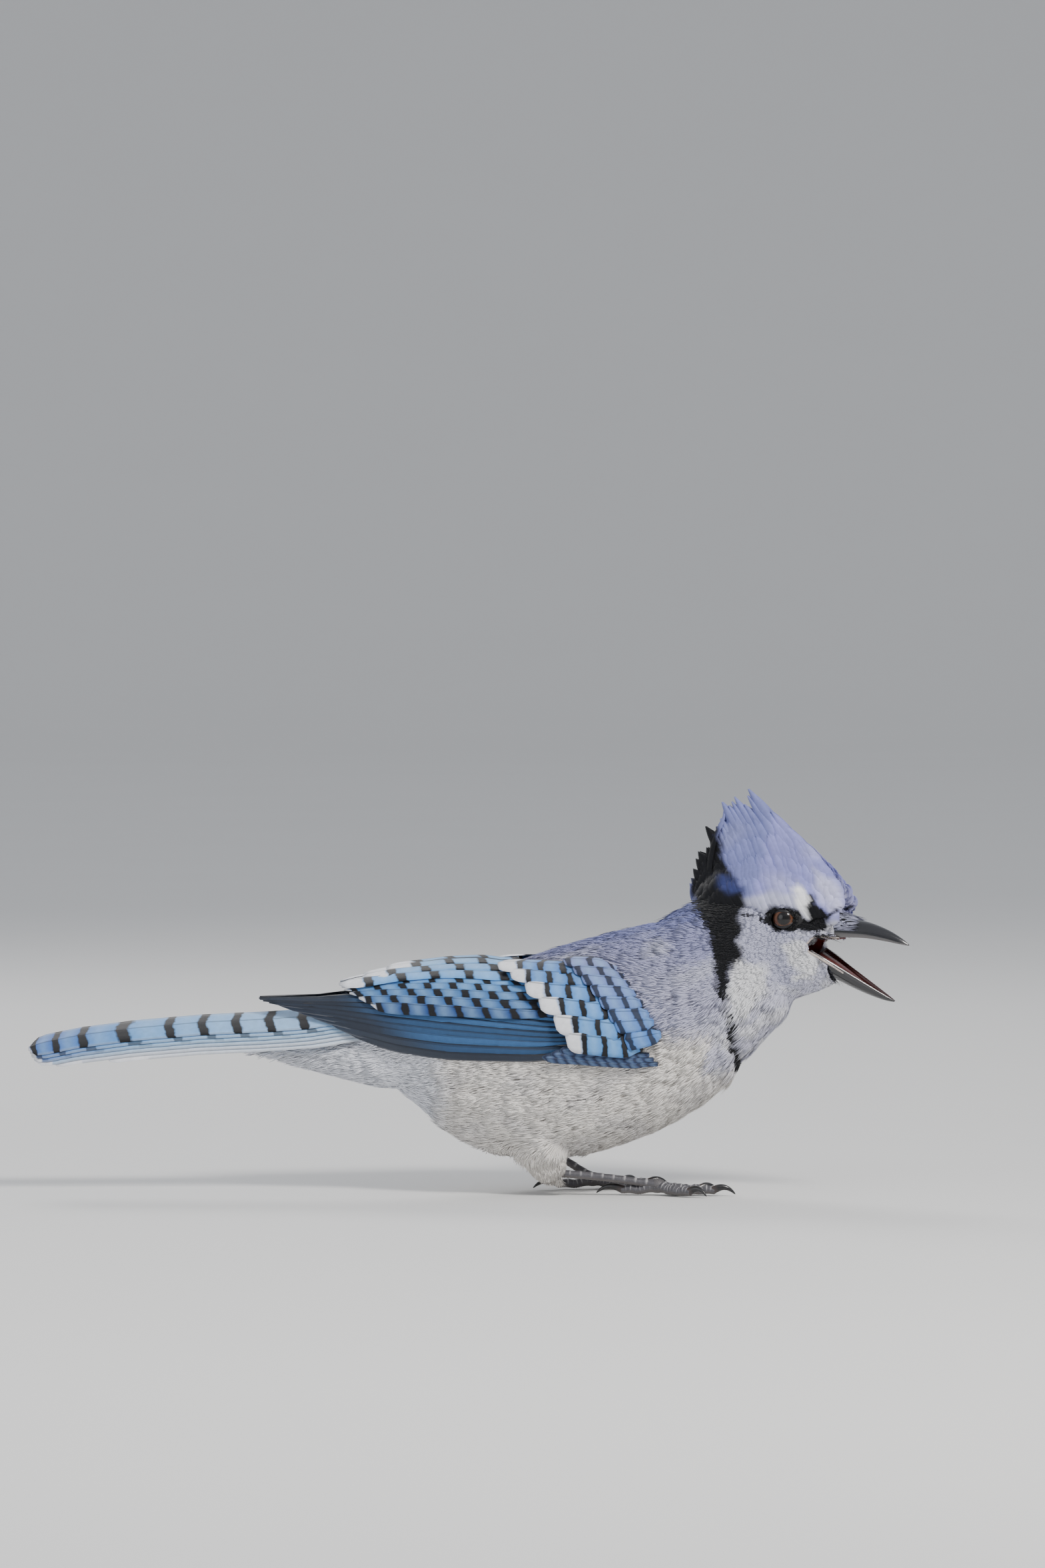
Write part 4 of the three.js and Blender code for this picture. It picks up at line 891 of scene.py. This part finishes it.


# tone turns the share across and along into a brightness, which puts painted shade at the feather's root and painted
# light towards its tip
def addCrestFeather(made, middle, facing, width, ends, form, tone):  # tone is from the share across and along
    s = np.linspace(0, 1, crest["steps"])
    forward = unit(np.gradient(middle, axis=0))
    up = aside(unit(facing + 0 * forward), forward)
    roundness, least = ends
    shape = (0.6 + 0.4 * ease(s, 0, 0.4)) * np.clip(1 - ((s - 0.4) / 0.6).clip(0, 1) ** roundness, least, 1) ** 0.8
    points, faces, share = vane(middle, np.cross(up, forward), up, width * shape, *form, cells=4)
    shade = tone(share[:, None], alongVane(s, 4)[:, None] - 0.5)
    made.add(points, faces, plumage=np.clip(plumageAt(points) * shade, 0, 1))


def addMiddleRows(made, draw):  # feathers down the front and the back of the crest, between its flanks
    s = np.linspace(0, 1, crest["steps"])
    profile = smoothRows(crestCore, 60)
    for column, way in ((0, 1), (1, -1)):
        for first in np.linspace(-0.14, 0.72, 12):
            for place in (-0.62, 0.62, -0.3, 0.3, 0):
                t = np.clip(first + draw.uniform(-0.03, 0.03) + 0.34 * s, -0.2, 1.12) * (len(profile) - 1)
                at = np.clip(t, 0, len(profile) - 1).astype(int)
                beyond = (t - at) * 0.6
                u = profile[at, column] + way * (0.15 + 0.5 * s) - 0.12 * way * beyond
                w = profile[at, 2] + beyond
                half = profile[at, 3]
                bulge = np.sqrt(1 - place ** 2)
                middle = headPoints(u - way * (1 - bulge) * half * 0.9, place * half, w)
                # own is a random tone; each feather also gets painted shade at its root and painted light at its tip
                own = draw.uniform(0.86, 1.04)
                addCrestFeather(made, middle, way * headAhead * bulge + place * headLeft, 1.6 + 0.36 * half, (3, 0.05),
                                (0.3, 0.25), lambda share, along: own + 0.2 * along)


def addCrest():
    made = vaneSet()
    draw = np.random.default_rng(9)
    rows = np.array(crestRows, float)
    s = np.linspace(0, 1, crest["steps"])
    total = (len(rows) - 1) * crest["between"] + 1
    for number, (first, last, wide, roundness, out) in enumerate(crest["layers"]):
        for i in range(total):
            at = i / crest["between"]
            row = [np.interp(at, np.arange(len(rows)), rows[:, k]) for k in range(4)]
            tall = i % crest["between"] == 0 and number == 0
            end = last * (1.0 if tall else draw.uniform(0.86, 0.97))
            swing = draw.uniform(-1.3, 1.3) * (number > 0 or not tall)
            for handed in (-1, 1):
                t = first + (end - first) * s
                arch = np.sin(np.pi * t.clip(0, 1))
                u = row[0] + (row[2] - row[0]) * t + 1.6 * arch * (1 if at < 6 else 0.2) + swing * s
                w = row[1] + (row[3] - row[1]) * t + 0.8 * arch
                v = np.maximum(headFlank(u, w) + 0.25, crest["flank"] + 0.6 - 0.27 * w - 0.1 * np.abs(u))
                v = np.maximum(v, 0.45) * (1 - 0.08 * t) + out * s + 0.35 * np.sin(np.pi * s)
                v = handed * (v + draw.uniform(-0.12, 0.12) - 0.9 * (1 - s) ** 2)
                # own is a random tone; each feather also gets painted light towards its edges and tip and painted shade
                # at its root
                width, own = wide * draw.uniform(0.85, 1.15), draw.uniform(0.84, 1.0)
                addCrestFeather(made, headPoints(u, v, w), handed * headLeft + np.array([0, 0, 0.35]), width,
                                (roundness, 0.04), (0.34, 0.2),
                                lambda share, along: own + 0.10 * np.abs(share) + 0.26 * along)
    addMiddleRows(made, draw)
    addCrestCore()
    piece = made.build("crest_feathers", "crest_feathers", crestLook)
    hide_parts("crest")
    print("crest", len(piece.data.polygons), "faces")


addCrest()


# bill, tongue and the rim of the gape
jaw = {"corner": (15, -7.4), "drop": math.atan2(16.9, 27.6)}


def jawPoints(s, v, n):
    c, d = math.cos(jaw["drop"]), math.sin(jaw["drop"])
    return headPoints(jaw["corner"][0] + s * c + n * d, v, jaw["corner"][1] - s * d + n * c)


bill = {"steps": 40, "around": 15,
        "upper": [(17, 4.4, -4.4, 6.2), (22, 3.4, -4.6, 5.6), (28, 1.4, -4.4, 4.4), (34, 0.2, -4.6, 3.3),
                  (40, -2, -5.5, 2.1), (44.5, -4.5, -6.4, 1.1), (47, -6.4, -6.8, 0.25)],
        "lower": [(2, 5.4, 6.9), (7, 5.3, 6.1), (12, 4.9, 4.9), (18, 4.2, 3.7), (24, 3.1, 2.5), (29, 1.8, 1.4),
                  (32, 0.5, 0.4)],
        "trough": [(2, 2.6, 6.3), (7, 2.5, 5.5), (12, 2.3, 4.35), (18, 1.9, 3.2), (24, 1.3, 2.05), (29, 0.8, 1.0),
                   (32, 0.1, 0.15)],
        "tongue": [(3.4, 1.5, 2.4), (9, 1.6, 2.3), (14, 1.3, 1.7), (18.5, 0.8, 1), (20.5, 0.3, 0.3)],
        "rim": [(25.5, 5.0, -4.6), (23.5, 5.9, -4.5), (18.4, 7.3, -4.2), (16, 8.0, -6), (14.8, 8.2, -7.5),
                (16.4, 8.0, -9.1), (19.6, 7.3, -10.8), (23, 6.3, -13), (27, 5.2, -15.6)], "rimSteps": 60}


def addBill():
    a = np.linspace(0, np.pi, bill["around"])
    u, top, edge, half = smoothRows(bill["upper"], bill["steps"]).T[..., None]
    outer = (half * np.cos(a), edge + (top - edge) * np.sin(a) ** 0.85)
    inner = (half * 0.80 * np.cos(a[::-1]), edge + 0.28 * (top - edge) * np.sin(a[::-1]))
    v, w = (np.concatenate(pair, 1) for pair in zip(outer, inner))
    points, faces = loft(headPoints(u + 0 * v, v, w))
    wear, mouthSide = (np.r_[np.tile(row, bill["steps"]), 0, 0][:, None] for row in (
        np.concatenate([np.clip(1 - np.sin(a) * 4.5, 0, 1), np.clip(1 - np.sin(a) * 9, 0, 1) * 0.5]),
        np.repeat([0.0, 1.0], len(a))))

    def addWear(piece, worn, within):
        addColour(piece, "wear", np.concatenate([worn * (1 - within), within, 0 * worn], 1))

    forward = headPlace(points)[0][:, None]
    upper = meshPiece("bill_upper_horn", points, faces, billLook)
    addWear(upper, np.clip(wear * 0.8 + ease(forward, 43, 47) * 0.4, 0, 1), mouthSide * (1 - ease(forward, 24, 40)))
    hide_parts("bill_upper")
    s, depth, half = smoothRows(bill["lower"], bill["steps"]).T[..., None]
    _, hollow, inside = smoothRows(bill["trough"], bill["steps"]).T[..., None]
    v = np.concatenate([half * np.cos(a), inside * np.cos(a[::-1])], 1)
    n = np.concatenate([-depth * np.sin(a) ** 0.9, -hollow * np.sin(a[::-1])], 1)
    points, faces = loft(jawPoints(s + 0 * v, v, n))
    lower = meshPiece("bill_lower_horn", points, faces, billLook)
    addWear(lower, wear * 0.45, mouthSide)
    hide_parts("bill_lower")
    s, thick, half = smoothRows(bill["tongue"], 24).T[..., None]
    around = np.linspace(0, 2 * np.pi, 20, endpoint=False)
    v, n = half * np.cos(around), -0.9 + thick * 0.5 * np.sin(around) * (1 - 0.25 * (np.abs(np.cos(around)) < 0.15))
    points, faces = loft(jawPoints(s + 0 * v, v, n))
    tongue = meshPiece("tongue_soft", points, faces, tongueLook)
    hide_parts("tongue")
    u, v, w = smoothRows(bill["rim"], bill["rimSteps"]).T
    t = np.linspace(0, 1, bill["rimSteps"])
    for sideName, handed in (("right", -1), ("left", 1)):
        thick = 0.46 * np.sin(np.pi * (0.06 + 0.88 * t)) ** 0.5 * (1 + 0.10 * np.sin(40 * t))
        points, faces = tube(headPoints(u, v * handed, w), thick, 12)
        meshPiece("gape_rim_" + sideName, points, faces, gapeLook)
    print("bill and mouth")


def fleshMaterial(name, deep, pale, roughness, scale):
    material, tree, shader = newMaterial(name, {"Roughness": roughness, "Coat Weight": 0.35})
    grain = noiseOf(tree, scale, 3.0)
    colour = blendColours(tree, calc(tree, "MULTIPLY", grain, 0.9), (*deep, 1), (*pale, 1))
    finish(tree, shader, colour, grain, 0.3, 0.0003)
    return material


tongueLook = fleshMaterial("tongueFlesh", paint(48, 16, 16), paint(112, 48, 42), 0.4, 900)
gapeLook = fleshMaterial("gapeRim", paint(120, 104, 98), paint(226, 216, 208), 0.45, 700)
addBill()

# soft tufts over the bill's base, and bristles at the gape and chin
faceHair = {"nasal": 900, "gape": 90, "chin": 46}


def addFaceHair():
    draw = np.random.default_rng(21)
    start, away, long, up, half, depth, colour = [], [], [], [], [], [], []

    def add(place, aim, length, width, rise, tone):
        start.append(headPoints(*(np.array(float(c)) for c in place)))
        f, o, r = aim
        away.append(unit(f * headAhead + o * headLeft + np.array([0, 0, r])))
        up.append(unit(headLeft * place[1] / 6 + np.array([0, 0, 0.25 + 0.2 * max(place[2], 0)])))
        long.append(length)
        half.append(width)
        depth.append(rise)
        colour.append(tone)

    for _ in range(faceHair["nasal"]):
        handed, turn = draw.choice((-1, 1)), draw.uniform(-0.55, 1.5)
        u = draw.uniform(21.5, 26.5)
        wide, tall = np.interp(u, [17, 22, 28], [6.4, 5.8, 4.6]), np.interp(u, [17, 22, 28], [4.6, 3.8, 1.8])
        v, w = handed * wide * math.cos(turn), (tall if turn > 0 else 4.0) * math.sin(turn) - 0.1
        tone = tint["brow"] * draw.uniform(0.45, 1.05) if draw.random() < 0.78 else tint["black"] * 2
        add((u, v, w), (1, -0.20 * handed * math.cos(turn), -0.30 * max(math.sin(turn), 0) + draw.normal(0, 0.05)),
            draw.uniform(3.4, 6.0), 0.17, 0.40, tone)
    for _ in range(faceHair["gape"]):
        handed = draw.choice((-1, 1))
        u = draw.uniform(15.5, 23)
        add((u, handed * draw.uniform(7.0, 7.8), -3.6 + draw.normal(0, 0.3)),
            (1, 0.12 * handed, -0.25 + draw.normal(0, 0.12)), draw.uniform(2.5, 5.5), 0.075, 0.3, tint["black"])
    for _ in range(faceHair["chin"]):
        s, v = draw.uniform(4, 13), draw.uniform(-3.4, 3.4)
        place = headPlace(jawPoints(np.array([s]), np.array([v]), np.array([-5.0])))
        add(tuple(float(c[0]) for c in place), (0.75, 0, -0.8 + draw.normal(0, 0.12)), draw.uniform(2.2, 3.8), 0.06,
            0.2, tint["black"])
    start, away = np.array(start), np.array(away)
    up = aside(np.array(up), away)
    long, half, depth = (np.array(a)[:, None] for a in (long, half, depth))
    points = bladePoints(start, away, long, up, np.cross(away, up), depth, half)
    points = points.reshape(-1, 3)
    faces = facingOut(points, facesOf(len(start)), len(bladeFaces))
    piece = meshPiece("coat_bristles", points, faces, coatLook)
    addColour(piece, "plumage", np.repeat(np.array(colour), bladeCorners, 0))
    u, v, w = headPlace(start)
    turn = np.arctan2(v, w + 4) / (2 * np.pi) + 0.5
    spot = np.stack([turn, (u - 10) / 40], 1)[:, None, :] + coat["bakeJitter"] * (
        draw.random((len(start), bladeCorners, 2)) - 0.5)
    addBakeMap(piece, faces, spot)
    print("face tufts", len(start))


addFaceHair()

# eyes: brown iris, dark pupil and wet front, in black lids
eye = {"at": headSizes["eye"], "radius": 4.2, "long": 3.95, "high": 2.45, "look": (0.22, 1, 0.06),
       # across the lid, from its inner edge: size against the opening, and depth under the eyeball's surface
       "lidRings": [(0.84, 0.25), (0.90, -0.12), (1.02, -0.34), (1.16, -0.36), (1.34, -0.1), (1.48, 0.6), (1.36, 1.7),
                    (0.94, 1.3)]}


def eyeMaterial():
    material, tree, shader = newMaterial("darkBrownEye", {"Roughness": 0.35, "Specular IOR Level": 0.1,
                                                          "Coat Weight": 1.0, "Coat Roughness": 0.02, "Coat IOR": 1.45})
    parts = split(tree, attribute(tree, "gaze"))
    ramp = addNode(tree, "ShaderNodeValToRGB", [(0, parts[0])])
    for element, screen in zip(ramp.color_ramp.elements, ((10, 8, 9), (12, 10, 10))):  # middle and rim
        element.color = (*paint(*screen), 1)
    for place, colour in ((0.40, (10, 8, 9)), (0.50, (34, 20, 16)), (0.60, (104, 66, 44)), (0.80, (74, 46, 33)),
                          (0.90, (40, 26, 22)), (0.96, (14, 12, 12))):
        ramp.color_ramp.elements.new(place).color = (*paint(*colour), 1)
    rays = calc(tree, "MULTIPLY_ADD", calc(tree, "SINE", calc(tree, "MULTIPLY", parts[1], 190.0)), 0.12, 0.92)
    iris = blendColours(tree, 1.0, ramp.outputs[0], greyOf(tree, rays), "MULTIPLY")
    tree.links.new(iris, shader.inputs["Base Color"])
    return material


def lidMaterial():
    material, tree, shader = newMaterial("blackLid", {"Roughness": 0.5})
    out = addMottle(tree, paint(20, 19, 22), 1500, 0.6)
    finish(tree, shader, out[0], out[1], 0.6, 0.0002)
    return material


eyeLook, lidLook = eyeMaterial(), lidMaterial()


def addEye(name, handed):
    u, v, w = eye["at"]
    middle = inHead(u, handed * v, w)
    f, o, r = eye["look"]
    axis = Vector(unit(f * headAhead + handed * o * headLeft + np.array([0, 0, r])))
    bpy.ops.object.select_all(action="DESELECT")
    bpy.ops.mesh.primitive_uv_sphere_add(segments=64, ring_count=48, radius=eye["radius"] * mm,
                                         location=(middle + drawnShift) * mm)
    ball = bpy.context.object
    ball.name = name.replace("eye", "eyeball")
    ball.rotation_euler = axis.to_track_quat("Z", "Y").to_euler()
    bpy.ops.object.transform_apply(location=True, rotation=True, scale=True)
    bpy.ops.object.shade_smooth()
    points = drawnPoints(ball.data) - middle
    out = points @ np.array(axis)
    radial = np.linalg.norm(points - out[:, None] * np.array(axis), axis=1) / 4.0
    radial = np.where(out < 0, 1, radial)
    turn = np.arctan2(points[:, 2], points @ headAhead) / (2 * np.pi) + 0.5
    addColour(ball, "gaze", np.stack([np.clip(radial, 0, 1), turn, turn], 1))
    ball.data.materials.append(eyeLook)
    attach(ball, "root")
    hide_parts(name)
    angle = np.linspace(0, 2 * np.pi, 72, endpoint=False)
    long = eye["long"] * (1 + 0.10 * np.cos(angle) ** 6)  # drawn out at both corners
    rings = []
    for grow, sink in eye["lidRings"]:
        ru, rw = long * grow * np.cos(angle), eye["high"] * grow * np.sin(angle) * (1.0 + 0.06 * (np.sin(angle) > 0))
        far = np.hypot(ru, rw)
        depth = np.sqrt(np.maximum(eye["radius"] ** 2 - np.minimum(far, 4.05) ** 2, 0)) - sink
        rings.append(headPoints(u + ru, handed * (v + depth), w + rw))
    rings = np.stack(rings, 1)  # around the eye, then across the lid
    around, cross, _ = rings.shape
    faces = []
    for i in range(around):
        a, b = i * cross, (i + 1) % around * cross
        faces += [(a + j, b + j, b + (j + 1) % cross, a + (j + 1) % cross) for j in range(cross)]
    p = rings.reshape(-1, 3)
    faces = facingOut(p, np.array(faces))
    meshPiece(name.replace("eye", "lids"), p, faces, lidLook)


for eyeName, handed in (("eye_right", -1), ("eye_left", 1)):
    addEye(eyeName, handed)
print("eyes")

# legs, toes and claws
legs = {"right": {"heel": (25.5, -12, 7.1), "foot": (59.5, -12.5, 3.4)},
        "left": {"heel": (11, 13, 20.5), "foot": (39.5, 12.5, 3.4)}}
toes = {"lengths": [11.5, 12.5, 18, 14.5], "claws": [8.2, 6.2, 6.8, 6.0], "joints": [2, 3, 4, 4], "radius": 1.75,
        "end": 1.2}  # the hind toe first


def scaleMaterial():
    material, tree, shader = newMaterial("scutedLeg", {"Roughness": 0.5})
    worn = split(tree, attribute(tree, "wear"))
    out = addMottle(tree, paint(82, 81, 86), 800, 0.7)
    pale = blendColours(tree, worn[0], out[0], (*paint(196, 194, 196), 1))
    pads = blendColours(tree, worn[1], pale, (*paint(118, 112, 108), 1))
    cells = addNode(tree, "ShaderNodeTexVoronoi", [("Vector", addNode(tree, "ShaderNodeTexCoord").outputs["Object"]),
                                                    ("Scale", 1500.0)], feature="DISTANCE_TO_EDGE").outputs["Distance"]
    finish(tree, shader, pads, cells, 0.35, 0.0004)
    return material


scaleLook = scaleMaterial()


def scuted(path, radii, scutes, flat, sides=16):  # a tube whose upper side has overlapping plates
    steps = len(path)
    t = np.linspace(0, scutes, steps)
    lap = t - np.floor(t)
    points, faces = tube(path, radii, sides, flat)
    rings = points[:-2].reshape(steps, sides, 3)
    middle = rings.mean(1, keepdims=True)
    angle = np.linspace(0, 2 * np.pi, sides, endpoint=False)
    upper = np.clip(np.sin(angle) + 0.35, 0, 1)[None, :, None]
    pad = np.clip(-np.sin(angle), 0, 1)[None, :, None]
    grow = 1 + 0.13 * (lap[:, None, None] ** 1.5) * upper + 0.06 * np.sin(t * np.pi * 6)[:, None, None] * pad
    points[:-2] = (middle + (rings - middle) * grow).reshape(-1, 3)
    edge = np.clip((lap - 0.80) / 0.2, 0, 1)[:, None] * upper[0, :, 0][None]
    under = np.repeat(pad[0, :, 0][None], steps, 0)
    wear = np.stack([edge.ravel() * 0.9, under.ravel() * 0.7, under.ravel() * 0], 1)
    return points, faces, np.concatenate([wear, [[0, 0, 0], [0, 0, 0]]])


def addLeg(sideName):
    plan = legs[sideName]
    heel, foot = np.array(plan["heel"], float), np.array(plan["foot"], float)
    t = np.linspace(0, 1, 90)
    path = heel + (foot - heel) * t[:, None]
    path[:, 2] += 0.5 * np.sin(np.pi * t)
    radii = 1.38 + 0.55 * (1 - ease(t, 0, 0.14)) + 0.45 * ease(t, 0.86, 1)
    points, faces, wear = scuted(path, radii, 10, 0.86)
    shank = meshPiece("tarsus_" + sideName, points, faces, scaleLook)
    addColour(shank, "wear", wear)
    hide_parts("leg_" + sideName)
    feet, horns = vaneSet(), vaneSet()
    for number in range(4):
        low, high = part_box("claw_%s_%d" % (sideName, number + 1))
        aim = np.array((low + high) / 2) / mm - drawnShift - foot
        aim[2] = 0
        aim = unit(aim)
        length, claw, joints = toes["lengths"][number], toes["claws"][number], toes["joints"][number]
        t = np.linspace(-0.06, 1, 22 * joints)
        path = foot + aim * length * t[:, None]
        knuckle = np.sin(np.pi * np.clip(t, 0, 1) * joints) ** 2
        radii = toes["radius"] + (toes["end"] - toes["radius"]) * np.clip(t, 0, 1) + 0.16 * knuckle
        path[:, 2] = 2.5 + (toes["end"] + 0.45 - 2.5) * ease(t, 0, 0.6) + 0.35 * knuckle
        path[:, 2] = np.maximum(path[:, 2], radii * 0.94 + 0.06)
        points, faces, wear = scuted(path, radii, joints * 4, 0.92)
        feet.add(points, faces, wear=wear)
        c = np.linspace(0, 1, 26)
        start = foot + aim * (length - 0.8)
        curve = start + aim * (claw + 0.5) * (c - 0.10 * c ** 3)[:, None] / 0.9
        curve[:, 2] = 1.75 + 1.5 * np.sin(np.pi * c * 0.9) * (1 - 0.2 * c) - 1.50 * c ** 2.2
        points, faces = tube(curve, 1.12 * (1 - c) ** 0.75 + 0.10, 14, 1.15)
        points[:, 2] = np.maximum(points[:, 2], 0.05)
        shade = np.r_[np.repeat(np.clip(0.5 - c * 2, 0, 0.5), 14), 0, 0][:, None]
        horns.add(points, faces, wear=np.tile(shade, (1, 3)))
    t = np.linspace(-1, 1, 20)
    points, faces = tube(foot + np.array([2.6, 0, -0.9]) * t[:, None] + np.array([0.5, 0, -0.1]),
                         2.3 * np.sqrt(np.maximum(1 - t ** 2, 0.01)), 16, 0.86)
    points[:, 2] = np.maximum(points[:, 2], 0.02)
    feet.add(points, faces, wear=[0.0, 0.25, 0.0])
    sole = feet.build("toes_" + sideName, "leg_skin", scaleLook)
    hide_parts("foot_" + sideName)
    talons = horns.build("talons_" + sideName, "claws", clawLook)
    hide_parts(*["claw_%s_%d" % (sideName, n) for n in (1, 2, 3, 4)])


for sideName in ("right", "left"):
    addLeg(sideName)
print("legs and feet")

# room: a pale floor that curves up all round
def addRoom():
    look, tree, shader = newMaterial("paleFloor", {"Roughness": 0.8})
    tree.links.new(addMottle(tree, room["floor"], 6, 0.03)[0], shader.inputs["Base Color"])
    radius, bend = room["radius"], room["bend"]
    turns = np.linspace(0, np.pi / 2, 12)
    curve = [(radius + bend * math.sin(a), bend * (1 - math.cos(a))) for a in turns]
    outline = [(0.0, 0), *curve, (radius + bend, room["wall"])]
    mesh = bpy.data.meshes.new("floor")
    mesh.from_pydata([(x, 0, z) for x, z in outline], [(i, i + 1) for i in range(len(outline) - 1)], [])
    floor = bpy.data.objects.new("floor", mesh)
    scene.collection.objects.link(floor)
    choose(floor)
    editAll((bpy.ops.mesh.spin, {"steps": 64, "angle": 2 * math.pi, "center": (0, 0, 0), "axis": (0, 0, 1)}),
            (bpy.ops.mesh.remove_doubles, {"threshold": 0.001}),
            (bpy.ops.mesh.normals_make_consistent, {"inside": True}))
    bpy.ops.object.shade_smooth()
    mesh.materials.append(look)


addRoom()
